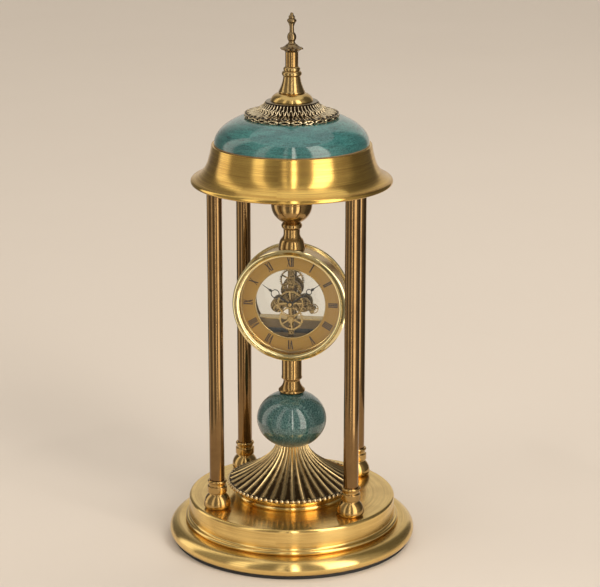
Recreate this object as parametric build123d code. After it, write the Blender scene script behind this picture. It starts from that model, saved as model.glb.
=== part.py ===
from build123d import *
import math
import os

# Column clock: a stepped round base, four columns, a brass canopy with a glazed
# dome and finial, and a drum hung on the centre line with an open movement.
# Millimetres. +Z is up, the dial faces -Y, and the origin is under the base's centre.

# Base
PAD_THICKNESS = 3.4
PAD_INSET = 0.5
PAD_WIDTH = 13.0
BASE_RADIUS = 107.5
BASE_SHELL_HEIGHT = 35.1
BASE_STEP_RADIUS = 90.3
BASE_FOOT_INSET = 2.5
BASE_TORUS_HEIGHT = 13.0
BASE_TORUS_TOP_RADIUS = 96.0
BASE_BEAD_SIZE = 2.0
BASE_SHOULDER = 2.5
BASE_WALL = 2.0
BASE_PLATE_THICKNESS = 6.0

# Columns, on one pitch circle, spaced wider at the front
COLUMN_CIRCLE_RADIUS = 73.8
FRONT_COLUMN_ANGLE = 51.8
REAR_COLUMN_ANGLE = 44.0
COLUMN_RADIUS = 6.4
COLUMN_WALL = 1.0
COLUMN_LENGTH = 254.8
FOOT_BELL_RADIUS = 11.5
FOOT_BELL_HEIGHT = 13.0
FOOT_NECK_RADIUS = 7.2
FOOT_DRUM_RADIUS = 8.4
FOOT_DRUM_HEIGHT = 7.5
FOOT_RING_RADIUS = 7.6
FOOT_RING_HEIGHT = 5.0

# Tie rods and nuts
ROD_RADIUS = 2.0
ROD_CLEARANCE = 0.1
ROD_TAIL = 1.2
NUT_RADIUS = 3.8
NUT_HEIGHT = 2.4

# Pedestal under the glazed ball
PEDESTAL_FOOT_RADIUS = 50.3
PEDESTAL_FOOT_HEIGHT = 13.0
PEDESTAL_STEP_HEIGHT = 4.0
PEDESTAL_LIP_HEIGHT = 1.2
PEDESTAL_WAIST_RADIUS = 46.0
CONE_RIM_RADIUS = 55.5
CONE_HEIGHT = 33.0
CONE_TOP_RADIUS = 14.0
CONE_WALL = 4.0
FLUTE_COUNT = 36
FLUTE_DEPTH_SHARE = 0.06
PEDESTAL_WALL = 4.0
BEAD_RIM_OVERHANG = 1.3
BEAD_RIM_WIDTH = 5.0
BEAD_RIM_HEIGHT = 3.8

# Glazed ball and the turned spindles above and below the drum
BALL_RADIUS = 30.4
BALL_HALF_HEIGHT = 25.4
BALL_WALL = 8.0
LOWER_SPINDLE_HEIGHT = 35.0
SPINDLE_BELL_RADIUS = 11.6
SPINDLE_BELL_HEIGHT = 10.5
SPINDLE_NECK_RADIUS = 7.2
SPINDLE_BARREL_RADIUS = 8.7
UPPER_SPINDLE_HEIGHT = 23.1
UPPER_RING_RADIUS = 8.9
UPPER_RING_HEIGHT = 4.4
CUP_BOTTOM_RADIUS = 7.9
CUP_RADIUS = 17.5
CUP_BOWL_HEIGHT = 17.0
CUP_NECK_RADIUS = 12.5

# Drum
DRUM_RADIUS = 47.5
DRUM_WALL = 1.5
DRUM_FRONT_Y = -12.0
DRUM_BACK_Y = 12.0
BEZEL_OVERHANG = 1.8
BEZEL_DEPTH = 6.8
BEZEL_FACE_WIDTH = 6.1
SKIRT_WALL = 1.6
SKIRT_LENGTH = 12.6
RUNNING_FIT = 0.08
LENS_THICKNESS = 1.5
REAR_BEZEL_DEPTH = 5.2
REAR_SKIRT_LENGTH = 4.0

# Dial stack, from the lens backwards
LENS_SETBACK = 4.8
SPACER_LENGTH = 5.5
STACK_RING_WIDTH = 1.1
CHAPTER_THICKNESS = 1.0
CHAPTER_WIDTH = 14.3
CHAPTER_RIM_WIDTH = 1.2
CHAPTER_RIM_HEIGHT = 0.7
MOUNTING_RING_LENGTH = 3.5
MOUNTING_RING_WIDTH = 3.0
PLATE_THICKNESS = 1.5
PLATE_GAP = 11.0
RETAINER_THICKNESS = 0.8
BAND_WIDTH = 4.0
BAND_THICKNESS = 0.9

# Movement: wheel sizes are tooth counts, modules in millimetres
MODULE = 0.5
CENTRE_TEETH = 32
UPPER_TEETH = 42
SETTING_TEETH = 18
THIRD_PINION_TEETH = 10
THIRD_TEETH = 30
FOURTH_PINION_TEETH = 8
CANNON_TEETH = 14
MINUTE_WHEEL_TEETH = 42
MINUTE_PINION_TEETH = 12
HOUR_TEETH = 48
THIRD_DIRECTION = -10.0
FOURTH_DIRECTION = -37.8
SETTING_DIRECTION = 195.8
WHEEL_THICKNESS = 0.8
PINION_LENGTH = 1.3
ARBOR_RADIUS = 1.0
PIVOT_RADIUS = 0.8
PIVOT_CLEARANCE = 0.05
WHEEL_RIM_WIDTH = 1.6
SPOKE_WIDTH = 1.2
BALANCE_RING_RADIUS = 4.4
PLATE_RING_WIDTH = 9.5
BRIDGE_WIDTH = 6.0
PILLAR_RADIUS = 2.0
PILLAR_INSET = 4.0
PILLAR_ANGLES = (40.0, 140.0, 270.0)
SCREW_HEAD_RADIUS = 1.9
SCREW_HEAD_HEIGHT = 0.8
MODULE_TOP = 16.0
MODULE_CLEARANCE = 2.3
DECK_THICKNESS = 1.0
BATTERY_RADIUS = 5.25
BATTERY_LENGTH = 44.5
BATTERY_DROP_SHARE = 0.614
BATTERY_CLEARANCE = 0.1
KNOB_RADIUS = 5.0
KNOB_LENGTH = 2.1
KNOB_GAP = 0.3

# Hands, set to nine minutes past ten
HAND_THICKNESS = 0.5
MINUTE_HAND_LENGTH = 33.0
HOUR_HAND_LENGTH = 29.5
HAND_WIDTH = 1.5
HAND_BOSS_RADIUS = 2.6
MINUTE_LOOP_DISTANCE = 20.5
MINUTE_LOOP_RADIUS = 2.6
HOUR_LOOP_DISTANCE = 15.7
HOUR_LOOP_RADIUS = 3.8
LOOP_WIDTH = 0.7
SHOWN_HOUR = 10
SHOWN_MINUTE = 9

# Canopy and glazed dome
CEILING_THICKNESS = 2.0
CEILING_RADIUS = 81.0
CANOPY_LIP_WIDTH = 4.7
CANOPY_LIP_HEIGHT = 3.8
CANOPY_LIP_DROP = 0.8
CANOPY_HEIGHT = 33.1
CANOPY_TOP_RADIUS = 67.7
CANOPY_WALL = 1.6
CANOPY_KNEE_DROP = 14.6
CANOPY_KNEE_SPREAD = 3.3
CANOPY_FLARE = 2.4
GASKET_THICKNESS = 0.8
GASKET_WIDTH = 2.6
DOME_INSET = 2.1
DOME_HEIGHT = 29.0
DOME_WALL = 4.0
CROWN_RADIUS = 39.0
CROWN_THICKNESS = 1.8
CROWN_EDGE = 1.3
CROWN_LOBES = 24
CROWN_COLLAR_RADIUS = 28.4
CROWN_COLLAR_HEIGHT = 10.0
CROWN_SHOULDER_RADIUS = 22.0
CROWN_SEAT_WIDTH = 3.5
CROWN_WINDOW_WIDTH = 2.4
CROWN_SEAT_GAP = 0.02
CROWN_CAP_RADIUS = 18.0
CROWN_CAP_HEIGHT = 6.2
CROWN_CAP_TOP_RADIUS = 12.0

# Finial
FINIAL_BELL_RADIUS = 11.2
FINIAL_BELL_HEIGHT = 14.2
FINIAL_NECK_RADIUS = 7.3
FINIAL_RING_RADIUS = 8.4
FINIAL_RING_HEIGHT = 4.6
FINIAL_STEP_RADIUS = 7.3
FINIAL_STEP_HEIGHT = 3.6
FINIAL_SHAFT_RADIUS = 5.5
FINIAL_SHAFT_HEIGHT = 12.2
PETAL_RADIUS = 9.7
PETAL_HEIGHT = 6.4
PETAL_COUNT = 10
SPIRE_HEIGHT = 26.1
SPIRE_FOOT_RADIUS = 4.3
SPIRE_NECK_RADIUS = 1.9
SPIRE_BULB_RADIUS = 4.0

# Extra stock that a cutter takes off
TRIM = 0.4

# Radii and levels worked out from the sizes above
BASE_FOOT_RADIUS = BASE_RADIUS - BASE_FOOT_INSET
PAD_RADIUS = BASE_FOOT_RADIUS - PAD_INSET
BEAD_RIM_RADIUS = CONE_RIM_RADIUS + BEAD_RIM_OVERHANG
BEZEL_RADIUS = DRUM_RADIUS + BEZEL_OVERHANG
BEZEL_LIP_RADIUS = BEZEL_RADIUS - BEZEL_FACE_WIDTH
CANOPY_LIP_RADIUS = CEILING_RADIUS + CANOPY_LIP_WIDTH
DOME_RADIUS = CANOPY_TOP_RADIUS - DOME_INSET
TORUS_TOP = PAD_THICKNESS + BASE_TORUS_HEIGHT
BASE_TOP = PAD_THICKNESS + BASE_SHELL_HEIGHT
FOOT_HEIGHT = FOOT_BELL_HEIGHT + FOOT_DRUM_HEIGHT + FOOT_RING_HEIGHT
CEILING_Z = BASE_TOP + FOOT_HEIGHT + COLUMN_LENGTH
CONE_BOTTOM = BASE_TOP + PEDESTAL_FOOT_HEIGHT
CONE_TOP = CONE_BOTTOM + CONE_HEIGHT


def ellipse_height(radius, half_width, half_height):
    """Height of an upright ellipse above its centre, at a given radius."""
    return half_height * math.sqrt(1 - (radius / half_width) ** 2)


BALL_Z = CONE_TOP + ellipse_height(CONE_TOP_RADIUS, BALL_RADIUS, BALL_HALF_HEIGHT)
SPINDLE_SEAT_Z = BALL_Z + ellipse_height(SPINDLE_BELL_RADIUS, BALL_RADIUS, BALL_HALF_HEIGHT)
DIAL_Z = SPINDLE_SEAT_Z + LOWER_SPINDLE_HEIGHT + DRUM_RADIUS
CUP_Z = DIAL_Z + DRUM_RADIUS + UPPER_SPINDLE_HEIGHT
CANOPY_BOTTOM = CEILING_Z - CANOPY_LIP_DROP
CANOPY_TOP = CANOPY_BOTTOM + CANOPY_HEIGHT
DOME_Z = CANOPY_TOP + GASKET_THICKNESS
COLLAR_FOOT_Z = DOME_Z + ellipse_height(CROWN_COLLAR_RADIUS, DOME_RADIUS, DOME_HEIGHT)
CROWN_CAP_Z = COLLAR_FOOT_Z + CROWN_COLLAR_HEIGHT
FINIAL_Z = CROWN_CAP_Z + CROWN_CAP_HEIGHT
SHAFT_Z = FINIAL_Z + FINIAL_BELL_HEIGHT + FINIAL_RING_HEIGHT + FINIAL_STEP_HEIGHT
PETAL_Z = SHAFT_Z + FINIAL_SHAFT_HEIGHT
SPIRE_Z = PETAL_Z + PETAL_HEIGHT
ROD_HOLE_RADIUS = ROD_RADIUS + ROD_CLEARANCE

# Radii and depths of the dial stack along Y
DRUM_BORE = DRUM_RADIUS - DRUM_WALL
SKIRT_RADIUS = DRUM_BORE - RUNNING_FIT
STACK_RADIUS = SKIRT_RADIUS - SKIRT_WALL
CHAPTER_OPENING_RADIUS = STACK_RADIUS - CHAPTER_WIDTH
MODULE_RADIUS = STACK_RADIUS - MODULE_CLEARANCE
PILLAR_CIRCLE_RADIUS = MODULE_RADIUS - PILLAR_INSET
BATTERY_DROP = BATTERY_DROP_SHARE * MODULE_RADIUS
BEZEL_FRONT_Y = DRUM_FRONT_Y - BEZEL_DEPTH
LENS_Y = BEZEL_FRONT_Y + LENS_SETBACK
SPACER_Y = LENS_Y + LENS_THICKNESS
CHAPTER_Y = SPACER_Y + SPACER_LENGTH
MOUNTING_RING_Y = CHAPTER_Y + CHAPTER_THICKNESS
FRONT_PLATE_Y = MOUNTING_RING_Y + MOUNTING_RING_LENGTH
GAP_Y = FRONT_PLATE_Y + PLATE_THICKNESS
BACK_PLATE_Y = GAP_Y + PLATE_GAP
BACK_Y = BACK_PLATE_Y + PLATE_THICKNESS


def outline(start, *steps):
    """Closed face; a step is an end point, with an arc height as its third number on a round run."""
    here = start
    edges = []
    for step in steps:
        there = (step[0], step[1])
        if len(step) == 3:
            edges.append(SagittaArc(here, there, step[2]))
        else:
            edges.append(Line(here, there))
        here = there
    edges.append(Line(here, start))
    return Face(Wire(edges))


def turned(face):
    """Solid of revolution about the vertical centre line, from a face of (radius, height)."""
    return revolve(Plane.XZ * face, Axis.Z, 360)


def turned_on_dial(face):
    """Solid of revolution about the dial's axis, from a face of (radius, depth)."""
    plane = Plane(origin=(0, 0, DIAL_Z), x_dir=(1, 0, 0), z_dir=(0, 0, 1))
    return revolve(plane * face, Axis((0, 0, DIAL_Z), (0, 1, 0)), 360)


def ring_on_dial(inner, outer, front_y, length):
    return turned_on_dial(outline((inner, front_y), (outer, front_y), (outer, front_y + length),
                                  (inner, front_y + length)))


def dial_plate(sketch, front_y, thickness):
    """Flat piece parallel to the dial; the sketch is in (across, up) from the dial's centre."""
    plane = Plane(origin=(0, front_y + thickness, DIAL_Z), x_dir=(1, 0, 0), z_dir=(0, -1, 0))
    return extrude(plane * sketch, thickness)


def dial_rod(radius, place, front_y, length):
    return dial_plate(Pos(place[0], place[1]) * Circle(radius), front_y, length)


def upright(radius, bottom, top, place=(0, 0)):
    """Upright round bar."""
    return Pos(place[0], place[1], bottom) * Cylinder(radius, top - bottom, align=(
        Align.CENTER, Align.CENTER, Align.MIN))


def polar(radius, degrees):
    angle = math.radians(degrees)
    return (radius * math.cos(angle), radius * math.sin(angle))


def column_places():
    """Named column centres, seen from above with the front at -Y."""
    places = {}
    for name, half_angle, toward in (("front", FRONT_COLUMN_ANGLE, -1), ("rear", REAR_COLUMN_ANGLE, 1)):
        across = COLUMN_CIRCLE_RADIUS * math.sin(math.radians(half_angle))
        along = toward * COLUMN_CIRCLE_RADIUS * math.cos(math.radians(half_angle))
        places[name + "_left"] = (-across, along)
        places[name + "_right"] = (across, along)
    return places


def rod_holes(bottom, top):
    """Cutters for the four tie rods and the centre rod."""
    holes = [upright(ROD_HOLE_RADIUS, bottom, top, place) for place in column_places().values()]
    return holes + [upright(ROD_HOLE_RADIUS, bottom, top)]


def base_foot():
    """Cast brass ring with a rounded side, the widest part of the base."""
    bottom = PAD_THICKNESS
    crest = bottom + BASE_TORUS_HEIGHT * 0.45
    face = outline(
        (BASE_STEP_RADIUS - BASE_WALL, TORUS_TOP),
        (BASE_TORUS_TOP_RADIUS, TORUS_TOP),
        (BASE_RADIUS, crest, BASE_TORUS_HEIGHT * 0.21),
        (BASE_FOOT_RADIUS, bottom, BASE_TORUS_HEIGHT * 0.08),
        (BASE_FOOT_RADIUS - BASE_WALL, bottom),
        (BASE_FOOT_RADIUS - BASE_WALL, bottom + BASE_PLATE_THICKNESS),
        (BASE_TORUS_TOP_RADIUS - BASE_WALL, TORUS_TOP - BASE_WALL),
        (BASE_STEP_RADIUS - BASE_WALL, TORUS_TOP - BASE_WALL),
    )
    return turned(face)


def base_shell():
    """Spun brass step on the foot: bead, upright side and a flat top with a soft shoulder."""
    bead_top = TORUS_TOP + 2 * BASE_BEAD_SIZE
    bead_root = BASE_STEP_RADIUS + BASE_BEAD_SIZE / 2
    inner_step = BASE_STEP_RADIUS - BASE_WALL
    face = outline(
        (0, BASE_TOP),
        (BASE_STEP_RADIUS - BASE_SHOULDER, BASE_TOP),
        (BASE_STEP_RADIUS, BASE_TOP - BASE_SHOULDER, BASE_SHOULDER * 0.29),
        (BASE_STEP_RADIUS, bead_top + BASE_BEAD_SIZE),
        (bead_root, bead_top, -BASE_BEAD_SIZE * 0.2),
        (bead_root + BASE_BEAD_SIZE / 2, TORUS_TOP, BASE_BEAD_SIZE * 0.85),
        (inner_step, TORUS_TOP),
        (inner_step, BASE_TOP - BASE_SHOULDER),
        (inner_step - BASE_SHOULDER, BASE_TOP - BASE_WALL),
        (0, BASE_TOP - BASE_WALL),
    )
    return turned(face) - rod_holes(TORUS_TOP, BASE_TOP + 1)


def base_plate():
    """Steel plate that closes the base and weights it."""
    radius = BASE_FOOT_RADIUS - BASE_WALL - RUNNING_FIT
    plate = upright(radius, PAD_THICKNESS, PAD_THICKNESS + BASE_PLATE_THICKNESS)
    return plate - upright(ROD_HOLE_RADIUS, 0, BASE_TOP)


def base_pad():
    """Black non-slip ring under the base."""
    face = outline((PAD_RADIUS - PAD_WIDTH, 0), (PAD_RADIUS - PAD_THICKNESS / 4, 0),
                   (PAD_RADIUS - PAD_THICKNESS / 4, PAD_THICKNESS, -PAD_THICKNESS / 4),
                   (PAD_RADIUS - PAD_WIDTH, PAD_THICKNESS))
    return turned(face)


def column_foot(place):
    """Turned foot: bell, neck, short drum and a ring under the tube."""
    neck_z = BASE_TOP + FOOT_BELL_HEIGHT
    drum_z = neck_z + FOOT_DRUM_HEIGHT
    top = drum_z + FOOT_RING_HEIGHT
    belly_z = BASE_TOP + FOOT_BELL_HEIGHT * 0.32
    face = outline(
        (ROD_HOLE_RADIUS, BASE_TOP),
        (FOOT_BELL_RADIUS * 0.86, BASE_TOP),
        (FOOT_BELL_RADIUS, belly_z, -0.6),
        (FOOT_NECK_RADIUS, neck_z, -1.0),
        (FOOT_NECK_RADIUS, neck_z + 1.0),
        (FOOT_DRUM_RADIUS, neck_z + 1.6),
        (FOOT_DRUM_RADIUS, drum_z - 0.6),
        (FOOT_NECK_RADIUS, drum_z),
        (FOOT_NECK_RADIUS, drum_z + 0.8),
        (FOOT_RING_RADIUS, top - 2.6),
        (FOOT_RING_RADIUS, top, -0.7),
        (ROD_HOLE_RADIUS, top),
    )
    return Pos(place[0], place[1], 0) * turned(face)


def column_tube(place):
    """Brass tube between its foot and the ceiling plate."""
    bottom = BASE_TOP + FOOT_HEIGHT
    tube = upright(COLUMN_RADIUS, bottom, CEILING_Z, place)
    return tube - upright(COLUMN_RADIUS - COLUMN_WALL, bottom - 1, CEILING_Z + 1, place)


def tie_rods():
    """Steel rods that clamp the base, feet, tubes and ceiling plate together."""
    low = BASE_TOP - BASE_WALL - NUT_HEIGHT - ROD_TAIL
    high = CEILING_Z + CEILING_THICKNESS + NUT_HEIGHT + ROD_TAIL / 2
    return [upright(ROD_RADIUS, low, high, place) for place in column_places().values()]


def nut(place, bottom):
    hexagon = RegularPolygon(NUT_RADIUS, 6) - Circle(ROD_RADIUS)
    return Pos(place[0], place[1], bottom) * extrude(hexagon, NUT_HEIGHT)


def rod_nuts():
    """Nuts at both ends of each tie rod and under the base plate."""
    nuts = []
    for place in column_places().values():
        nuts.append(nut(place, BASE_TOP - BASE_WALL - NUT_HEIGHT))
        nuts.append(nut(place, CEILING_Z + CEILING_THICKNESS))
    nuts.append(nut((0, 0), PAD_THICKNESS - NUT_HEIGHT))
    return nuts


def centre_rods():
    """Rod from the base plate to the drum, and rod from the drum to the finial."""
    lower = upright(ROD_RADIUS, PAD_THICKNESS - NUT_HEIGHT, DIAL_Z - DRUM_BORE - DRUM_WALL / 3)
    upper = upright(ROD_RADIUS, DIAL_Z + DRUM_BORE + DRUM_WALL / 3, PETAL_Z)
    return [lower, upper]


def pedestal_foot():
    """Polished ring and cove that lift the fluted cone off the base."""
    step_top = BASE_TOP + PEDESTAL_STEP_HEIGHT
    torus_top = step_top + (PEDESTAL_FOOT_HEIGHT - PEDESTAL_STEP_HEIGHT) * 0.8
    face = outline(
        (PEDESTAL_WAIST_RADIUS - PEDESTAL_WALL, BASE_TOP),
        (PEDESTAL_FOOT_RADIUS - 1.6, BASE_TOP),
        (PEDESTAL_FOOT_RADIUS - 1.6, step_top, -0.9),
        (PEDESTAL_FOOT_RADIUS - 2.4, step_top),
        (PEDESTAL_WAIST_RADIUS, torus_top, -3.0),
        (BEAD_RIM_RADIUS - BEAD_RIM_WIDTH, CONE_BOTTOM - PEDESTAL_LIP_HEIGHT),
        (BEAD_RIM_RADIUS - BEAD_RIM_WIDTH, CONE_BOTTOM),
        (PEDESTAL_WAIST_RADIUS - PEDESTAL_WALL, CONE_BOTTOM),
    )
    return turned(face)


def flute_section(radius, height):
    """Star-shaped section of the cone with one ridge and one valley per flute."""
    points = []
    for index in range(2 * FLUTE_COUNT):
        depth = FLUTE_DEPTH_SHARE * radius * (index % 2)
        points.append(Vector(*polar(radius - depth, 180 * index / FLUTE_COUNT), height))
    return Face(Wire.make_polygon(points, close=True))


def fluted_cone():
    """Flared cone with sharp flutes, from the beaded rim up to the ball."""
    sections = []
    steps = 5
    for index in range(steps + 1):
        share = index / steps
        radius = CONE_TOP_RADIUS + (CONE_RIM_RADIUS - CONE_TOP_RADIUS) * (1 - share) ** 1.7
        sections.append(flute_section(radius, CONE_BOTTOM + CONE_HEIGHT * share))
    cone = loft(sections, ruled=True)
    ball = ellipsoid(BALL_RADIUS, BALL_HALF_HEIGHT, BALL_Z)
    hollow_radius = CONE_RIM_RADIUS * (1 - FLUTE_DEPTH_SHARE) - CONE_WALL
    hollow_height = CONE_HEIGHT * 0.8
    hollow = Pos(0, 0, CONE_BOTTOM) * Cone(hollow_radius, CONE_TOP_RADIUS - 2 * CONE_WALL, hollow_height, align=(
        Align.CENTER, Align.CENTER, Align.MIN))
    return cone - hollow - ball - upright(ROD_HOLE_RADIUS, BASE_TOP, CONE_TOP + 1)


def bead_rim():
    """Rounded rim that carries the beading round the foot of the cone."""
    inner = BEAD_RIM_RADIUS - BEAD_RIM_WIDTH
    shoulder = BEAD_RIM_RADIUS - BEAD_RIM_HEIGHT * 0.4
    face = outline(
        (inner, CONE_BOTTOM),
        (shoulder, CONE_BOTTOM),
        (shoulder - BEAD_RIM_HEIGHT * 0.1, CONE_BOTTOM - BEAD_RIM_HEIGHT, BEAD_RIM_HEIGHT * 0.45),
        (inner, CONE_BOTTOM - PEDESTAL_LIP_HEIGHT),
    )
    return turned(face)


def ellipsoid(half_width, half_height, level):
    """Round ball, wider than it is tall."""
    half = Face(Wire([
        EllipticalCenterArc((0, 0), half_width, half_height, start_angle=270, arc_size=180),
        Line((0, half_height), (0, -half_height)),
    ]))
    return Pos(0, 0, level) * turned(half)


def ceramic_ball():
    """Glazed ball between the cone and the drum's spindle."""
    ball = ellipsoid(BALL_RADIUS, BALL_HALF_HEIGHT, BALL_Z)
    ball -= ellipsoid(BALL_RADIUS - BALL_WALL, BALL_HALF_HEIGHT - BALL_WALL, BALL_Z)
    return ball - upright(ROD_HOLE_RADIUS, CONE_BOTTOM, DIAL_Z)


def drum_cylinder(radius):
    length = 2 * DRUM_RADIUS
    return dial_plate(Circle(radius), -DRUM_RADIUS, length)


def lower_spindle():
    """Turned spindle from the ball up to the drum."""
    seat = SPINDLE_SEAT_Z
    neck = seat + SPINDLE_BELL_HEIGHT
    top = DIAL_Z - DRUM_RADIUS + DRUM_WALL
    face = outline(
        (ROD_HOLE_RADIUS, seat - 1.5),
        (SPINDLE_BELL_RADIUS - 2.4, seat - 1.5),
        (SPINDLE_BELL_RADIUS - 0.5, seat),
        (SPINDLE_BELL_RADIUS - 0.5, seat + 2.4, -0.5),
        (SPINDLE_NECK_RADIUS, neck, 1.4),
        (SPINDLE_BARREL_RADIUS - 0.4, neck + 2.2),
        (SPINDLE_BARREL_RADIUS + 0.5, neck + 4.6, -0.9),
        (SPINDLE_BARREL_RADIUS, neck + 5.0),
        (SPINDLE_BARREL_RADIUS, top),
        (ROD_HOLE_RADIUS, top),
    )
    return turned(face) - drum_cylinder(DRUM_RADIUS) - ellipsoid(BALL_RADIUS, BALL_HALF_HEIGHT, BALL_Z)


def upper_spindle():
    """Turned bell, neck and ring on top of the drum."""
    bell_z = DIAL_Z + DRUM_RADIUS
    ring_z = CUP_Z - UPPER_RING_HEIGHT
    bottom = bell_z - DRUM_WALL
    face = outline(
        (ROD_HOLE_RADIUS, bottom),
        (SPINDLE_BELL_RADIUS, bottom),
        (SPINDLE_BELL_RADIUS, bell_z + 2.4),
        (SPINDLE_NECK_RADIUS, bell_z + SPINDLE_BELL_HEIGHT, 1.6),
        (SPINDLE_NECK_RADIUS, ring_z - 1.6),
        (UPPER_RING_RADIUS - 0.8, ring_z - 1.0),
        (UPPER_RING_RADIUS - 0.8, CUP_Z - 1.2, -0.8),
        (CUP_BOTTOM_RADIUS - 0.9, CUP_Z),
        (ROD_HOLE_RADIUS, CUP_Z),
    )
    return turned(face) - drum_cylinder(DRUM_RADIUS)


def hanging_cup():
    """Bowl-shaped boss under the canopy, which carries the drum's upper spindle."""
    rim_z = CUP_Z + CUP_BOWL_HEIGHT
    face = outline(
        (ROD_HOLE_RADIUS, CUP_Z),
        (CUP_BOTTOM_RADIUS, CUP_Z),
        (CUP_RADIUS, rim_z, -3.2),
        (CUP_RADIUS, rim_z + 2.0, -0.5),
        (CUP_NECK_RADIUS, rim_z + 2.4),
        (CUP_NECK_RADIUS, CEILING_Z - 4.0),
        (CUP_NECK_RADIUS + 3.0, CEILING_Z, 1.0),
        (ROD_HOLE_RADIUS, CEILING_Z),
    )
    return turned(face)


def drum_shell():
    """Brass tube that holds the movement insert, open at the front."""
    tube = ring_on_dial(DRUM_BORE, DRUM_RADIUS, DRUM_FRONT_Y, DRUM_BACK_Y - DRUM_FRONT_Y)
    return tube - upright(ROD_HOLE_RADIUS, SPINDLE_SEAT_Z, CUP_Z)


def bezel_face(edge_y, crest_y, skirt_end_y, lens_y, toward):
    """Half-round bezel with a lens seat and a skirt inside the drum; toward is the side it faces."""
    depth = abs(crest_y - edge_y)
    side_y = edge_y + toward * depth * 0.35
    return outline(
        (SKIRT_RADIUS, skirt_end_y),
        (SKIRT_RADIUS, edge_y),
        (BEZEL_RADIUS - 0.7, edge_y),
        (BEZEL_RADIUS, side_y, toward * 0.2),
        (BEZEL_RADIUS - 2.9, crest_y, toward * 0.9),
        (BEZEL_LIP_RADIUS + 0.2, lens_y + toward * 1.2, toward * 0.9),
        (BEZEL_LIP_RADIUS, lens_y),
        (STACK_RADIUS, lens_y),
        (STACK_RADIUS, skirt_end_y),
    )


def front_bezel():
    """Polished bezel with the skirt that slides into the drum."""
    skirt_end = DRUM_FRONT_Y + SKIRT_LENGTH
    bezel = turned_on_dial(bezel_face(DRUM_FRONT_Y, BEZEL_FRONT_Y, skirt_end, LENS_Y, -1))
    groove = ring_on_dial(SKIRT_RADIUS - BAND_THICKNESS, DRUM_RADIUS, band_front_y(), BAND_WIDTH)
    return bezel - groove


def band_front_y():
    return DRUM_FRONT_Y + (SKIRT_LENGTH - BAND_WIDTH) / 2


def grip_band():
    """Rubber band in the skirt's groove, which holds the insert in the drum."""
    return ring_on_dial(SKIRT_RADIUS - BAND_THICKNESS, DRUM_BORE - RUNNING_FIT / 2, band_front_y(), BAND_WIDTH)


def front_lens():
    return ring_on_dial(0, STACK_RADIUS, LENS_Y, LENS_THICKNESS)


def rear_bezel():
    """Fixed bezel pressed into the back of the drum."""
    crest = DRUM_BACK_Y + REAR_BEZEL_DEPTH
    lens_back = crest - REAR_BEZEL_DEPTH * 0.3
    return turned_on_dial(bezel_face(DRUM_BACK_Y, crest, DRUM_BACK_Y - REAR_SKIRT_LENGTH, lens_back, 1))


def rear_lens():
    back = DRUM_BACK_Y + REAR_BEZEL_DEPTH * 0.7
    return ring_on_dial(0, STACK_RADIUS, back - LENS_THICKNESS, LENS_THICKNESS)


def dial_spacer():
    """Ring that holds the lens off the chapter ring."""
    return ring_on_dial(STACK_RADIUS - STACK_RING_WIDTH, STACK_RADIUS, SPACER_Y, SPACER_LENGTH)


def chapter_ring():
    """Flat hour ring with a raised rim round its opening."""
    face = outline(
        (CHAPTER_OPENING_RADIUS, CHAPTER_Y + CHAPTER_THICKNESS),
        (CHAPTER_OPENING_RADIUS, CHAPTER_Y - CHAPTER_RIM_HEIGHT),
        (CHAPTER_OPENING_RADIUS + CHAPTER_RIM_WIDTH, CHAPTER_Y - CHAPTER_RIM_HEIGHT),
        (CHAPTER_OPENING_RADIUS + CHAPTER_RIM_WIDTH, CHAPTER_Y),
        (STACK_RADIUS, CHAPTER_Y),
        (STACK_RADIUS, CHAPTER_Y + CHAPTER_THICKNESS),
    )
    return turned_on_dial(face)


def mounting_ring():
    """Black ring between the chapter ring and the movement's front plate."""
    return ring_on_dial(STACK_RADIUS - MOUNTING_RING_WIDTH, STACK_RADIUS, MOUNTING_RING_Y, MOUNTING_RING_LENGTH)


def retaining_ring():
    """Spring ring that closes the stack inside the skirt."""
    return ring_on_dial(STACK_RADIUS - STACK_RING_WIDTH, STACK_RADIUS, GAP_Y, RETAINER_THICKNESS)


def mesh_distance(first, second, module=MODULE):
    return module * (first + second) / 2


def added(first, second):
    return (first[0] + second[0], first[1] + second[1])


CENTRE = (0.0, 0.0)
UPPER = (0.0, mesh_distance(CENTRE_TEETH, UPPER_TEETH))
THIRD = polar(mesh_distance(CENTRE_TEETH, THIRD_PINION_TEETH), THIRD_DIRECTION)
SETTING = polar(mesh_distance(CENTRE_TEETH, SETTING_TEETH), SETTING_DIRECTION)
FOURTH = added(THIRD, polar(mesh_distance(THIRD_TEETH, FOURTH_PINION_TEETH), FOURTH_DIRECTION))
MINUTE_WHEEL = (0.0, -mesh_distance(CANNON_TEETH, MINUTE_WHEEL_TEETH))
HOUR_MODULE = -2 * MINUTE_WHEEL[1] / (HOUR_TEETH + MINUTE_PINION_TEETH)

# Depths of the wheels along Y
TRAIN_Y = GAP_Y + 2.5
THIRD_Y = TRAIN_Y + 3.0
BALANCE_Y = THIRD_Y + 2.5
MINUTE_WHEEL_Y = FRONT_PLATE_Y - 1.9
HOUR_WHEEL_Y = MINUTE_WHEEL_Y - 2.2
HOUR_HAND_Y = CHAPTER_Y - 2.0
MINUTE_HAND_Y = HOUR_HAND_Y - 1.4


def gear_sketch(teeth, module, phase=0.0):
    """Toothed disc; phase is the direction of a tooth in degrees."""
    root = module * (teeth / 2 - 1.25)
    tip = module * (teeth / 2 + 0.8)
    pitch = 360 / teeth
    points = []
    for index in range(teeth):
        middle = phase + index * pitch
        points.append(polar(root, middle - 0.27 * pitch))
        points.append(polar(tip, middle - 0.11 * pitch))
        points.append(polar(tip, middle + 0.11 * pitch))
        points.append(polar(root, middle + 0.27 * pitch))
    return Sketch() + Face(Wire.make_polygon([Vector(x, y, 0) for x, y in points], close=True))


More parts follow.
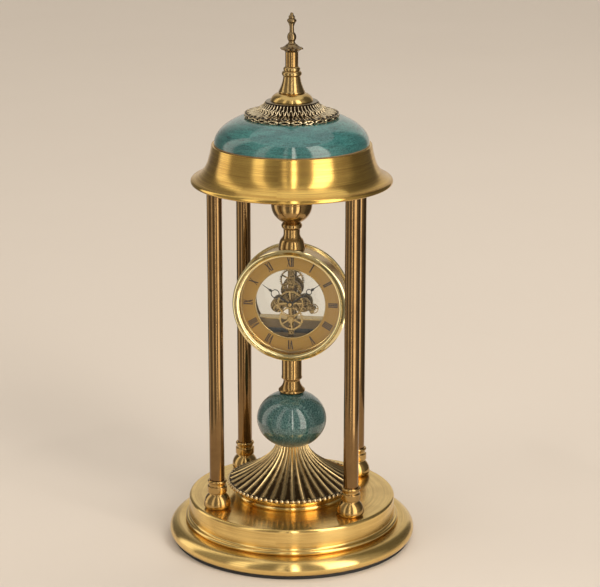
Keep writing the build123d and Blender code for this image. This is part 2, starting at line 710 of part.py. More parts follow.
def mate_phase(teeth, phase, direction, mate_teeth):
    """Phase of a mating gear so that its gap meets the tooth of the first."""
    pitch = 360 / teeth
    offset = (direction - phase) % pitch
    return direction + 180 + offset * teeth / mate_teeth + 180 / mate_teeth


def crossed_wheel(teeth, module, phase, spokes, hub_radius, rim_width=WHEEL_RIM_WIDTH):
    """Toothed rim on straight spokes, as a train wheel is crossed out."""
    inner = module * teeth / 2 - rim_width
    wheel = gear_sketch(teeth, module, phase) - Circle(inner)
    for index in range(spokes):
        turn = phase + 360 * index / spokes
        wheel += Rot(0, 0, turn) * Pos(inner / 2, 0) * Rectangle(inner + rim_width / 2, SPOKE_WIDTH)
    return wheel + Circle(hub_radius)


def wheel_phases():
    """Phases of every wheel for the pose at rest."""
    phases = {"centre": 90.0, "cannon": 270.0}
    phases["upper"] = mate_phase(CENTRE_TEETH, 90.0, 90.0, UPPER_TEETH)
    phases["third_pinion"] = mate_phase(CENTRE_TEETH, 90.0, THIRD_DIRECTION, THIRD_PINION_TEETH)
    phases["setting"] = mate_phase(CENTRE_TEETH, 90.0, SETTING_DIRECTION, SETTING_TEETH)
    phases["fourth_pinion"] = mate_phase(THIRD_TEETH, 0.0, FOURTH_DIRECTION, FOURTH_PINION_TEETH)
    phases["minute_wheel"] = mate_phase(CANNON_TEETH, 270.0, 270.0, MINUTE_WHEEL_TEETH)
    phases["hour"] = mate_phase(MINUTE_PINION_TEETH, 90.0, 90.0, HOUR_TEETH)
    return phases


def centre_wheel():
    """Centre arbor with its train wheel and the cannon pinion of the motion work."""
    phases = wheel_phases()
    wheel = dial_plate(crossed_wheel(CENTRE_TEETH, MODULE, phases["centre"], 4, 2.6), TRAIN_Y, WHEEL_THICKNESS)
    cannon = dial_plate(gear_sketch(CANNON_TEETH, MODULE, phases["cannon"]), MINUTE_WHEEL_Y, PINION_LENGTH)
    arbor = dial_rod(ARBOR_RADIUS, CENTRE, MINUTE_HAND_Y - HAND_THICKNESS, BACK_Y - MINUTE_HAND_Y + HAND_THICKNESS)
    return wheel + cannon + arbor


def upper_wheel():
    """Large thin wheel behind the bridge at twelve."""
    sketch = crossed_wheel(UPPER_TEETH, MODULE, wheel_phases()["upper"], 3, 2.2)
    wheel = dial_plate(Pos(*UPPER) * sketch, TRAIN_Y, WHEEL_THICKNESS)
    return wheel + dial_rod(PIVOT_RADIUS, UPPER, FRONT_PLATE_Y, BACK_Y - FRONT_PLATE_Y)


def third_wheel():
    """Third wheel and its pinion on one arbor, right of the centre."""
    phases = wheel_phases()
    pinion = dial_plate(Pos(*THIRD) * gear_sketch(THIRD_PINION_TEETH, MODULE, phases["third_pinion"]),
                        TRAIN_Y, PINION_LENGTH)
    sketch = crossed_wheel(THIRD_TEETH, MODULE, 0.0, 4, 2.0)
    wheel = dial_plate(Pos(*THIRD) * sketch, THIRD_Y, WHEEL_THICKNESS)
    return pinion + wheel + dial_rod(PIVOT_RADIUS, THIRD, FRONT_PLATE_Y, BACK_Y - FRONT_PLATE_Y)


def balance_ring():
    """Thin ring with one bar, driven by the third wheel."""
    phase = wheel_phases()["fourth_pinion"]
    pinion = dial_plate(Pos(*FOURTH) * gear_sketch(FOURTH_PINION_TEETH, MODULE, phase), THIRD_Y, PINION_LENGTH)
    ring = Circle(BALANCE_RING_RADIUS) - Circle(BALANCE_RING_RADIUS - LOOP_WIDTH)
    ring += Rectangle(2 * BALANCE_RING_RADIUS - LOOP_WIDTH, LOOP_WIDTH) + Circle(2 * PIVOT_RADIUS)
    rim = dial_plate(Pos(*FOURTH) * ring, BALANCE_Y, WHEEL_THICKNESS)
    return pinion + rim + dial_rod(PIVOT_RADIUS, FOURTH, FRONT_PLATE_Y, BACK_Y - FRONT_PLATE_Y)


def setting_wheel():
    """Wheel of the hand-setting arbor, left of the centre."""
    sketch = gear_sketch(SETTING_TEETH, MODULE, wheel_phases()["setting"])
    wheel = dial_plate(Pos(*SETTING) * sketch, TRAIN_Y, WHEEL_THICKNESS)
    return wheel + dial_rod(PIVOT_RADIUS, SETTING, FRONT_PLATE_Y, BACK_Y + KNOB_LENGTH - FRONT_PLATE_Y)


def setting_knob():
    """Knob behind the back plate that turns the hands."""
    sketch = Pos(*SETTING) * (Circle(KNOB_RADIUS) - Circle(PIVOT_RADIUS))
    notches = Sketch()
    for index in range(12):
        notches += Pos(*added(SETTING, polar(KNOB_RADIUS, 30 * index))) * Circle(0.6)
    return dial_plate(sketch - notches, BACK_Y + KNOB_GAP, KNOB_LENGTH - KNOB_GAP)


def minute_wheel():
    """Minute wheel of the motion work, with its pinion, at six o'clock."""
    sketch = crossed_wheel(MINUTE_WHEEL_TEETH, MODULE, wheel_phases()["minute_wheel"], 6, 3.4)
    wheel = dial_plate(Pos(*MINUTE_WHEEL) * sketch, MINUTE_WHEEL_Y, WHEEL_THICKNESS)
    pinion = gear_sketch(MINUTE_PINION_TEETH, HOUR_MODULE, 90.0)
    front = dial_plate(Pos(*MINUTE_WHEEL) * pinion, HOUR_WHEEL_Y, MINUTE_WHEEL_Y - HOUR_WHEEL_Y)
    return wheel + front + dial_rod(PIVOT_RADIUS, MINUTE_WHEEL, MINUTE_WHEEL_Y, GAP_Y - MINUTE_WHEEL_Y)


def hour_wheel():
    """Hour wheel and its pipe, which turns round the centre arbor."""
    sketch = crossed_wheel(HOUR_TEETH, HOUR_MODULE, wheel_phases()["hour"], 4, 2.2, 1.2)
    bore = ARBOR_RADIUS + PIVOT_CLEARANCE
    wheel = dial_plate(sketch - Circle(bore), HOUR_WHEEL_Y, WHEEL_THICKNESS)
    pipe = Circle(bore + 0.6) - Circle(bore)
    return wheel + dial_plate(pipe, HOUR_HAND_Y, HOUR_WHEEL_Y - HOUR_HAND_Y)


def hand_sketch(length, loop_distance, loop_radius, bore, clock_angle):
    """Straight hand with a boss, an open loop, a spade and a fine point."""
    blade_end = loop_distance - loop_radius + LOOP_WIDTH * 0.7
    blade = outline((HAND_WIDTH / 2, 0), (HAND_WIDTH / 2 * 0.7, blade_end),
                    (-HAND_WIDTH / 2 * 0.7, blade_end), (-HAND_WIDTH / 2, 0))
    loop_end = loop_distance + loop_radius
    spade = outline((0.4, loop_end - 0.5), (1.3, loop_end + 1.0), (0.35, loop_end + 3.0), (0.1, length),
                    (-0.1, length), (-0.35, loop_end + 3.0), (-1.3, loop_end + 1.0), (-0.4, loop_end - 0.5))
    loop = Pos(0, loop_distance) * (Circle(loop_radius) - Circle(loop_radius - LOOP_WIDTH))
    hand = Sketch() + blade + spade + loop + Circle(HAND_BOSS_RADIUS) - Circle(bore)
    return Rot(0, 0, -clock_angle) * hand


def minute_hand():
    angle = 6 * SHOWN_MINUTE
    sketch = hand_sketch(MINUTE_HAND_LENGTH, MINUTE_LOOP_DISTANCE, MINUTE_LOOP_RADIUS, ARBOR_RADIUS, angle)
    return dial_plate(sketch, MINUTE_HAND_Y, HAND_THICKNESS)


def hour_hand():
    angle = 30 * (SHOWN_HOUR + SHOWN_MINUTE / 60)
    bore = ARBOR_RADIUS + PIVOT_CLEARANCE + 0.6
    sketch = hand_sketch(HOUR_HAND_LENGTH, HOUR_LOOP_DISTANCE, HOUR_LOOP_RADIUS, bore, angle)
    return dial_plate(sketch, HOUR_HAND_Y, HAND_THICKNESS)


def hand_nut():
    """Small domed nut that holds the minute hand."""
    face = outline((0, MINUTE_HAND_Y - HAND_THICKNESS), (ARBOR_RADIUS, MINUTE_HAND_Y - HAND_THICKNESS),
                   (ARBOR_RADIUS, MINUTE_HAND_Y), (1.9, MINUTE_HAND_Y), (1.5, MINUTE_HAND_Y - 1.0, 0.2),
                   (0, MINUTE_HAND_Y - 1.3))
    return turned_on_dial(face)


def link(first, second, width):
    """Straight arm of a plate between two places."""
    across = (second[0] - first[0], second[1] - first[1])
    turn = math.degrees(math.atan2(across[1], across[0]))
    middle = ((first[0] + second[0]) / 2, (first[1] + second[1]) / 2)
    return Pos(*middle) * Rot(0, 0, turn) * Rectangle(math.hypot(*across), width)


def plate_sketch(outer_radius, lower_arm):
    """Skeleton plate: outer ring, a bridge from twelve, and a lobe at each pivot."""
    inner = outer_radius - PLATE_RING_WIDTH
    middle_ring = (0.0, inner + PLATE_RING_WIDTH / 2)
    boss = (UPPER[0], UPPER[1] * 0.58)
    plate = Circle(outer_radius) - Circle(inner)
    plate += link(middle_ring, CENTRE, BRIDGE_WIDTH)
    plate += Pos(*boss) * Circle(9.0)
    plate += Circle(5.2)
    plate += link(CENTRE, SETTING, 6.0) + Pos(*SETTING) * Circle(6.0)
    plate += link(CENTRE, THIRD, 7.0) + Pos(*THIRD) * Circle(6.6)
    plate += link(THIRD, FOURTH, 2.4) + Pos(*FOURTH) * Circle(1.9)
    plate += link(CENTRE, MINUTE_WHEEL, 5.0) + Pos(*MINUTE_WHEEL) * Circle(3.4)
    if lower_arm:
        plate += link(MINUTE_WHEEL, (0.0, -middle_ring[1]), 5.0)
    for place, radius, turn in ((boss, 5.6, 0), (boss, 5.6, 180)):
        window = Circle(radius) - Rectangle(BRIDGE_WIDTH, 4 * radius)
        half = window & Pos(2 * radius, 0) * Rectangle(4 * radius, 4 * radius)
        plate -= Pos(*place) * Rot(0, 0, turn) * half
    return plate


def pivot_holes(radius):
    places = (UPPER, THIRD, SETTING, FOURTH)
    holes = Circle(ARBOR_RADIUS + PIVOT_CLEARANCE)
    for place in places:
        holes += Pos(*place) * Circle(radius)
    return holes


def pillar_places():
    return [polar(PILLAR_CIRCLE_RADIUS, angle) for angle in PILLAR_ANGLES]


def front_plate():
    """Skeleton plate seated in the bezel's skirt."""
    sketch = plate_sketch(STACK_RADIUS, True) - pivot_holes(PIVOT_RADIUS + PIVOT_CLEARANCE)
    sketch -= Pos(*MINUTE_WHEEL) * Circle(PIVOT_RADIUS + PIVOT_CLEARANCE)
    return dial_plate(sketch, FRONT_PLATE_Y, PLATE_THICKNESS)


def back_plate():
    """Skeleton plate behind the wheels."""
    sketch = plate_sketch(MODULE_RADIUS, False) - pivot_holes(PIVOT_RADIUS + PIVOT_CLEARANCE)
    mouth_length = BATTERY_LENGTH + 4 * BATTERY_CLEARANCE
    mouth_height = 2 * BATTERY_RADIUS + 4 * BATTERY_CLEARANCE
    sketch -= Pos(0, -BATTERY_DROP) * Rectangle(mouth_length, mouth_height)
    return dial_plate(sketch, BACK_PLATE_Y, PLATE_THICKNESS)


def plate_pillars():
    """Round pillars that hold the two plates apart."""
    return [dial_rod(PILLAR_RADIUS, place, GAP_Y, PLATE_GAP) for place in pillar_places()]


def plate_screws():
    """Screw heads on both ends of each pillar."""
    screws = []
    for place in pillar_places():
        screws.append(dial_rod(SCREW_HEAD_RADIUS, place, FRONT_PLATE_Y - SCREW_HEAD_HEIGHT, SCREW_HEAD_HEIGHT))
        screws.append(dial_rod(SCREW_HEAD_RADIUS, place, BACK_Y, SCREW_HEAD_HEIGHT))
    return screws


def quartz_module():
    """Black housing of the motor and battery, in the lower part of the drum."""
    block = Circle(MODULE_RADIUS) & Pos(0, -MODULE_TOP - MODULE_RADIUS) * Rectangle(
        2 * MODULE_RADIUS, 2 * MODULE_RADIUS)
    housing = dial_plate(block, GAP_Y + RETAINER_THICKNESS, PLATE_GAP - RETAINER_THICKNESS)
    lowest = pillar_places()[-1]
    housing -= dial_rod(PILLAR_RADIUS + ROD_CLEARANCE, lowest, GAP_Y, PLATE_GAP)
    room = BATTERY_RADIUS + BATTERY_CLEARANCE
    length = BATTERY_LENGTH + 2 * BATTERY_CLEARANCE
    bay = Pos(0, battery_y(), DIAL_Z - BATTERY_DROP) * Rot(0, 90, 0) * Cylinder(room, length)
    mouth = Pos(0, battery_y() + PLATE_GAP / 2, DIAL_Z - BATTERY_DROP) * Box(length, PLATE_GAP, 2 * room)
    return housing - bay - mouth


def battery_y():
    return BACK_PLATE_Y - BATTERY_RADIUS


def battery():
    """Round cell lying across the housing, with its raised end."""
    nub = 1.0
    can = Cylinder(BATTERY_RADIUS, BATTERY_LENGTH - nub, align=(Align.CENTER, Align.CENTER, Align.MIN))
    tip = Pos(0, 0, BATTERY_LENGTH - nub) * Cylinder(1.9, nub, align=(Align.CENTER, Align.CENTER, Align.MIN))
    cell = Pos(0, 0, -BATTERY_LENGTH / 2) * (can + tip)
    return Pos(0, battery_y(), DIAL_Z - BATTERY_DROP) * Rot(0, 90, 0) * cell


def deck_plate():
    """Brass shelf on the housing, under the wheels."""
    front = GAP_Y + RETAINER_THICKNESS
    depth = BACK_PLATE_Y - front
    half = math.sqrt((MODULE_RADIUS - 1) ** 2 - MODULE_TOP ** 2)
    return Pos(0, front + depth / 2, DIAL_Z - MODULE_TOP + DECK_THICKNESS / 2) * Box(2 * half, depth, DECK_THICKNESS)


def ceiling_plate():
    """Steel plate under the canopy, clamped on the four columns."""
    plate = upright(CEILING_RADIUS, CEILING_Z, CEILING_Z + CEILING_THICKNESS)
    return plate - rod_holes(CEILING_Z - 1, CEILING_Z + CEILING_THICKNESS + 1)


def canopy_shell():
    """Spun brass canopy: steep collar, concave flare, rolled lip and a seat on the ceiling plate."""
    seat = CEILING_Z + CEILING_THICKNESS
    lip_top = CANOPY_BOTTOM + CANOPY_LIP_HEIGHT
    seat_radius = CEILING_RADIUS + RUNNING_FIT
    knee_radius = CANOPY_TOP_RADIUS + CANOPY_KNEE_SPREAD
    knee_z = CANOPY_TOP - CANOPY_KNEE_DROP
    collar_bend = CANOPY_FLARE / 8
    inner_top = CANOPY_TOP_RADIUS - CANOPY_WALL
    face = outline(
        (seat_radius, CEILING_Z),
        (CANOPY_LIP_RADIUS - 1.3, CANOPY_BOTTOM, -0.3),
        (CANOPY_LIP_RADIUS - 1.1, lip_top, -1.1),
        (knee_radius, knee_z, CANOPY_FLARE),
        (CANOPY_TOP_RADIUS, CANOPY_TOP, collar_bend),
        (inner_top - GASKET_WIDTH, CANOPY_TOP),
        (inner_top - GASKET_WIDTH, CANOPY_TOP - CANOPY_WALL),
        (inner_top, CANOPY_TOP - CANOPY_WALL),
        (knee_radius - CANOPY_WALL, knee_z, -collar_bend),
        (seat_radius - 2.8, seat + 2.5, -CANOPY_FLARE / 2),
        (seat_radius - 1.5, seat),
        (seat_radius, seat),
    )
    return turned(face)


def dome_gasket():
    """Thin cork ring between the canopy and the glazed dome."""
    outer = DOME_RADIUS - 0.4
    return upright(outer, CANOPY_TOP, DOME_Z) - upright(outer - GASKET_WIDTH, CANOPY_TOP - 1, DOME_Z + 1)


def dome_face(half_width, half_height):
    return Face(Wire([
        EllipticalCenterArc((0, 0), half_width, half_height, start_angle=0, arc_size=90),
        Line((0, half_height), (0, 0)),
        Line((0, 0), (half_width, 0)),
    ]))


def ceramic_dome():
    """Glazed dome, hollow, held down by the finial."""
    outer = turned(dome_face(DOME_RADIUS, DOME_HEIGHT))
    inner = turned(dome_face(DOME_RADIUS - DOME_WALL, DOME_HEIGHT - DOME_WALL))
    return Pos(0, 0, DOME_Z) * (outer - inner) - upright(ROD_HOLE_RADIUS, DOME_Z, FINIAL_Z)


def crown_outline():
    """Section of the crown: a brim on the dome, a rounded collar and a flat seat for the cap."""
    brim_z = DOME_Z + ellipse_height(CROWN_RADIUS, DOME_RADIUS, DOME_HEIGHT)
    foot_z = COLLAR_FOOT_Z + CROWN_THICKNESS
    waist_z = foot_z + CROWN_THICKNESS * 1.5
    waist_radius = CROWN_COLLAR_RADIUS - 1.4
    seat_radius = CROWN_CAP_RADIUS - CROWN_SEAT_WIDTH
    return outline(
        (CROWN_RADIUS + TRIM, DOME_Z),
        (CROWN_RADIUS + TRIM, brim_z + CROWN_EDGE),
        (CROWN_COLLAR_RADIUS, foot_z),
        (waist_radius, waist_z, 0.3),
        (CROWN_SHOULDER_RADIUS, CROWN_CAP_Z - 0.3, -0.9),
        (CROWN_CAP_RADIUS, CROWN_CAP_Z),
        (seat_radius, CROWN_CAP_Z),
        (seat_radius, CROWN_CAP_Z - CROWN_THICKNESS),
        (CROWN_SHOULDER_RADIUS - CROWN_THICKNESS / 3, CROWN_CAP_Z - CROWN_THICKNESS),
        (waist_radius - CROWN_THICKNESS, waist_z, 0.8),
        (waist_radius - CROWN_THICKNESS, DOME_Z),
    )


def crown_pattern():
    """Crown seen from above: round lobes, a teardrop in each, and a row of slots in the collar."""
    lobe_radius = CROWN_RADIUS * math.sin(math.pi / CROWN_LOBES)
    lobe_circle = CROWN_RADIUS - lobe_radius
    teardrop_radius = lobe_radius * 0.52
    drop_point = CROWN_COLLAR_RADIUS + 1.2
    slot_circle = (CROWN_COLLAR_RADIUS + CROWN_SHOULDER_RADIUS) / 2 - 0.6
    drop = Sketch() + Pos(lobe_circle, 0) * Circle(teardrop_radius)
    drop += outline((drop_point, 0), (lobe_circle, -teardrop_radius), (lobe_circle, teardrop_radius))
    slot = Pos(slot_circle, 0) * SlotOverall(CROWN_COLLAR_RADIUS - CROWN_SHOULDER_RADIUS - 1.4, CROWN_WINDOW_WIDTH)
    pattern = Sketch() + Circle(lobe_circle)
    for index in range(CROWN_LOBES):
        pattern += Pos(*polar(lobe_circle, 360 * index / CROWN_LOBES)) * Circle(lobe_radius)
    for index in range(CROWN_LOBES):
        pattern -= Rot(0, 0, 360 * index / CROWN_LOBES) * drop
        pattern -= Rot(0, 0, 360 * (index + 0.5) / CROWN_LOBES) * slot
    return pattern


def crown_flange():
    """Scalloped and pierced crown that holds the dome down."""
    prism = Pos(0, 0, DOME_Z) * extrude(crown_pattern(), 2 * DOME_HEIGHT)
    seat = turned(dome_face(DOME_RADIUS + CROWN_SEAT_GAP, DOME_HEIGHT + CROWN_SEAT_GAP))
    return (turned(crown_outline()) & prism) - Pos(0, 0, DOME_Z) * seat


def crown_cap():
    """Polished cap between the crown and the finial."""
    face = outline(
        (ROD_HOLE_RADIUS, CROWN_CAP_Z),
        (CROWN_CAP_RADIUS, CROWN_CAP_Z),
        (CROWN_CAP_TOP_RADIUS, FINIAL_Z, -1.2),
        (ROD_HOLE_RADIUS, FINIAL_Z),
    )
    return turned(face)


def finial_bell():
    """Turned bell, neck, ring and step at the foot of the finial."""
    ring_z = FINIAL_Z + FINIAL_BELL_HEIGHT
    step_z = ring_z + FINIAL_RING_HEIGHT
    face = outline(
        (ROD_HOLE_RADIUS, FINIAL_Z),
        (FINIAL_BELL_RADIUS - 0.5, FINIAL_Z),
        (FINIAL_BELL_RADIUS - 0.4, FINIAL_Z + 2.0, -0.4),
        (FINIAL_NECK_RADIUS, ring_z - 1.6, 0.5),
        (FINIAL_NECK_RADIUS, ring_z - 0.6),
        (FINIAL_RING_RADIUS - 1.1, ring_z),
        (FINIAL_RING_RADIUS - 1.1, step_z - 0.4, -1.1),
        (FINIAL_STEP_RADIUS - 0.6, step_z),
        (FINIAL_STEP_RADIUS - 1.2, SHAFT_Z - 0.4, -0.7),
        (FINIAL_SHAFT_RADIUS, SHAFT_Z),
        (ROD_HOLE_RADIUS, SHAFT_Z),
    )
    return turned(face)


def finial_shaft():
    """Plain round shaft between the step and the petals."""
    return upright(FINIAL_SHAFT_RADIUS, SHAFT_Z, PETAL_Z) - upright(ROD_HOLE_RADIUS, SHAFT_Z - 1, PETAL_Z + 1)


def finial_petals():
    """Leaf collar under the spire: a drooping disc with a scalloped edge."""
    lobe_radius = PETAL_RADIUS * math.sin(math.pi / PETAL_COUNT)
    pattern = Sketch() + Circle(PETAL_RADIUS - lobe_radius)
    for index in range(PETAL_COUNT):
        pattern += Pos(*polar(PETAL_RADIUS - lobe_radius, 360 * index / PETAL_COUNT)) * Circle(lobe_radius)
    face = outline(
        (0, PETAL_Z),
        (FINIAL_SHAFT_RADIUS + 0.4, PETAL_Z),
        (PETAL_RADIUS + TRIM, PETAL_Z + PETAL_HEIGHT * 0.34, 0.4),
        (PETAL_RADIUS + TRIM, PETAL_Z + PETAL_HEIGHT * 0.5),
        (SPIRE_FOOT_RADIUS, PETAL_Z + PETAL_HEIGHT, 0.5),
        (0, PETAL_Z + PETAL_HEIGHT),
    )
    return turned(face) & (Pos(0, 0, PETAL_Z - TRIM) * extrude(pattern, PETAL_HEIGHT + 2 * TRIM))


def finial_spire():
    """Turned spire with two bulbs, a bead and a rounded tip."""
    unit = SPIRE_HEIGHT / 26
    face = outline(
        (0, SPIRE_Z),
        (SPIRE_FOOT_RADIUS, SPIRE_Z),
        (SPIRE_NECK_RADIUS + 0.8, SPIRE_Z + 1.6 * unit, 0.3),
        (SPIRE_NECK_RADIUS + 0.8, SPIRE_Z + 2.4 * unit),
        (SPIRE_NECK_RADIUS + 0.1, SPIRE_Z + 9.8 * unit, -1.5),
        (SPIRE_NECK_RADIUS, SPIRE_Z + 14.0 * unit),
        (SPIRE_BULB_RADIUS, SPIRE_Z + 18.8 * unit, 0.4),
        (SPIRE_NECK_RADIUS + 0.5, SPIRE_Z + 21.3 * unit, -0.5),
        (SPIRE_NECK_RADIUS + 0.7, SPIRE_Z + 22.8 * unit, -0.2),
        (SPIRE_NECK_RADIUS - 0.4, SPIRE_Z + 24.2 * unit),
        (0.4, SPIRE_Z + SPIRE_HEIGHT, -0.4),
        (0, SPIRE_Z + SPIRE_HEIGHT),
    )
    return turned(face)


def solids_of(shape):
    """Flat list of the solids in a piece or in a group of pieces."""
    if isinstance(shape, list):
        return [solid for item in shape for solid in solids_of(item)]
    return list(shape.solids())


def all_nodes():
    """Every node of the clock, by name."""
    nodes = {
        "base_foot": base_foot(),
        "base_shell": base_shell(),
        "base_plate": base_plate(),
        "base_pad": base_pad(),
        "tie_rods": tie_rods(),
        "rod_nuts": rod_nuts(),
        "centre_rods": centre_rods(),
        "pedestal_foot": pedestal_foot(),
        "fluted_cone": fluted_cone(),
        "bead_rim": bead_rim(),
        "ceramic_ball": ceramic_ball(),
        "lower_spindle": lower_spindle(),
        "upper_spindle": upper_spindle(),
        "hanging_cup": hanging_cup(),
        "drum_shell": drum_shell(),
        "rear_bezel": rear_bezel(),
        "rear_lens": rear_lens(),
        "front_bezel": front_bezel(),
        "grip_band": grip_band(),
        "front_lens": front_lens(),
        "dial_spacer": dial_spacer(),
        "chapter_ring": chapter_ring(),
        "mounting_ring": mounting_ring(),
        "front_plate": front_plate(),
        "retaining_ring": retaining_ring(),
        "back_plate": back_plate(),
        "plate_pillars": plate_pillars(),
        "plate_screws": plate_screws(),
        "quartz_module": quartz_module(),
        "battery": battery(),
        "deck_plate": deck_plate(),
        "centre_wheel": centre_wheel(),
        "upper_wheel": upper_wheel(),
        "third_wheel": third_wheel(),
        "balance_ring": balance_ring(),
        "setting_wheel": setting_wheel(),
        "setting_knob": setting_knob(),
        "minute_wheel": minute_wheel(),
        "hour_wheel": hour_wheel(),
        "minute_hand": minute_hand(),
        "hour_hand": hour_hand(),
        "hand_nut": hand_nut(),
        "ceiling_plate": ceiling_plate(),
        "canopy_shell": canopy_shell(),
        "dome_gasket": dome_gasket(),
        "ceramic_dome": ceramic_dome(),
        "crown_flange": crown_flange(),
        "crown_cap": crown_cap(),
        "finial_bell": finial_bell(),
        "finial_shaft": finial_shaft(),
        "finial_petals": finial_petals(),
        "finial_spire": finial_spire(),
    }
    for name, place in column_places().items():
        nodes["column_foot_" + name] = column_foot(place)
        nodes["column_tube_" + name] = column_tube(place)
    return nodes


os.makedirs("parts", exist_ok=True)
for node_name, node_shape in all_nodes().items():
    export_step(Compound(children=solids_of(node_shape)), "parts/" + node_name + ".step")
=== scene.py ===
import math

import bmesh
import bpy
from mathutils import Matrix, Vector


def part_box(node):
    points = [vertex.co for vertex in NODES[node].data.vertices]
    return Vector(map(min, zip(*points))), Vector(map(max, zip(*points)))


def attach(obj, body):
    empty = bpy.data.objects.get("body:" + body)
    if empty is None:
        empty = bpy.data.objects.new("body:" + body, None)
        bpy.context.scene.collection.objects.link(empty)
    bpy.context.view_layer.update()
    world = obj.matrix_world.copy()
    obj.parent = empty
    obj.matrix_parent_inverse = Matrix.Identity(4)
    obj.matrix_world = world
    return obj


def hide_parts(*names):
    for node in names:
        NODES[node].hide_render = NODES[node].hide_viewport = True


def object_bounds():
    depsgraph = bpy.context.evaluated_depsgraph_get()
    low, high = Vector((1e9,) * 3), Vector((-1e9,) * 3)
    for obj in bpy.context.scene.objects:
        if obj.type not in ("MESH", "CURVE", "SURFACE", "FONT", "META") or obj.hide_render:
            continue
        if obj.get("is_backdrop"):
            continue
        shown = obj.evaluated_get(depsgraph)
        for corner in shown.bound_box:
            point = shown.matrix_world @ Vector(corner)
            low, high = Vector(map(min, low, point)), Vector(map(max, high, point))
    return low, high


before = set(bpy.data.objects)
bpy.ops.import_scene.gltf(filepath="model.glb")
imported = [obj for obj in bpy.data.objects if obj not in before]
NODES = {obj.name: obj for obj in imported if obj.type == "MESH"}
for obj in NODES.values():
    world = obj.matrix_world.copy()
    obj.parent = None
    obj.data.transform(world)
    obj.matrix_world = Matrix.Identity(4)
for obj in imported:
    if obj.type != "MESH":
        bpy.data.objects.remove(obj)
CAD_LOW, CAD_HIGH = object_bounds()

# Lengths and levels are in millimetres, and the scene is in metres.
MM = 0.001
CORNERS = ("front_left", "front_right", "rear_left", "rear_right")


def level(node, side):
    """Lowest (0) or highest (1) level of a CAD node."""
    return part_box(node)[side].z / MM


def middle(node):
    low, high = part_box(node)
    return (low + high) / 2 / MM


def half_width(node):
    low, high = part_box(node)
    return (high.x - low.x) / 2 / MM


DIAL_Z = middle("front_bezel").z
BASE_TOP = level("base_shell", 1)
CONE_BOTTOM = level("fluted_cone", 0)
CONE_TOP = level("fluted_cone", 1)
BALL_Z = middle("ceramic_ball").z
CUP_Z = level("hanging_cup", 0)
CEILING_Z = level("ceiling_plate", 0)
CANOPY_BOTTOM = level("canopy_shell", 0)
CANOPY_TOP = level("canopy_shell", 1)
DOME_Z = level("ceramic_dome", 0)
FINIAL_Z = level("finial_bell", 0)
SHAFT_Z = level("finial_shaft", 0)
PETAL_Z = level("finial_petals", 0)
SPIRE_Z = level("finial_spire", 0)
SPIRE_TOP = level("finial_spire", 1)

ROD_HOLE = 2.1  # radius of the hole that a threaded rod passes through
QUARTER_ROUND = 0.29  # sagitta of a quarter circle, as a share of its radius
DRUM_RADIUS = 47.5
DRUM_BOTTOM = DIAL_Z - DRUM_RADIUS
DRUM_TOP = DIAL_Z + DRUM_RADIUS


# Outlines

TINY = 1e-6
ARC_STEP = 5  # degrees between the points of an arc
SMOOTH_JOIN = math.radians(28)  # a corner that turns less than this stays as it is
CORNER_SHARE = 0.4  # most of an edge that one rounded corner may take


def arc_points(here, there, sagitta):
    """Points of an arc after its start; a positive sagitta bulges to the left of travel."""
    a, b = Vector(here), Vector(there)
    chord = b - a
    half = chord.length / 2
    radius = (half ** 2 + sagitta ** 2) / (2 * abs(sagitta))
    sign = 1 if sagitta > 0 else -1
    left = Vector((-chord.y, chord.x)).normalized()
    centre = (a + b) / 2 + left * (sagitta - sign * radius)
    sweep = 2 * math.asin(min(1.0, half / radius))
    if abs(sagitta) > radius:
        sweep = 2 * math.pi - sweep
    count = max(4, round(math.degrees(sweep) / ARC_STEP))
    start = a - centre
    points = []
    for k in range(1, count + 1):
        turn = -sign * sweep * k / count
        points.append((centre.x + start.x * math.cos(turn) - start.y * math.sin(turn),
                       centre.y + start.x * math.sin(turn) + start.y * math.cos(turn)))
    return points


def soften(points, size):
    """Rounds each sharp corner of a closed outline."""
    result = []
    for index, point in enumerate(points):
        here = Vector(point)
        back = Vector(points[index - 1]) - here
        on = Vector(points[(index + 1) % len(points)]) - here
        if back.length < TINY:
            continue
        if here.x < TINY or on.length < TINY or math.pi - back.angle(on) < SMOOTH_JOIN:
            result.append(here)
            continue
        cut_back = here + back.normalized() * min(size, CORNER_SHARE * back.length)
        cut_on = here + on.normalized() * min(size, CORNER_SHARE * on.length)
        for t in (0.0, 0.2, 0.4, 0.6, 0.8, 1.0):
            result.append(cut_back * (1 - t) ** 2 + here * 2 * t * (1 - t) + cut_on * t ** 2)
    return result


def profile(start, *steps, corner=0.35):
    """Closed outline from a start and steps of (x, y) or (x, y, sagitta)."""
    points = [start]
    here = start
    for step in steps:
        there = (step[0], step[1])
        if len(step) == 3:
            points.extend(arc_points(here, there, step[2]))
        else:
            points.append(there)
        here = there
    return soften(points, corner)


def half_ellipse(half_width, half_height, centre_z, start, end, count=40):
    """Points (radius, height) of an ellipse between two angles in degrees."""
    points = []
    for k in range(count + 1):
        angle = math.radians(start + (end - start) * k / count)
        points.append((half_width * math.cos(angle), centre_z + half_height * math.sin(angle)))
    return points


def polar(radius, degrees):
    angle = math.radians(degrees)
    return (radius * math.cos(angle), radius * math.sin(angle))


# Meshes


def put_in_scene(name, mesh_bm, material):
    """Makes an object with one material from a bmesh, and frees the bmesh."""
    mesh = bpy.data.meshes.new(name)
    mesh_bm.to_mesh(mesh)
    mesh_bm.free()
    mesh.materials.append(material)
    piece = bpy.data.objects.new(name, mesh)
    bpy.context.scene.collection.objects.link(piece)
    return piece


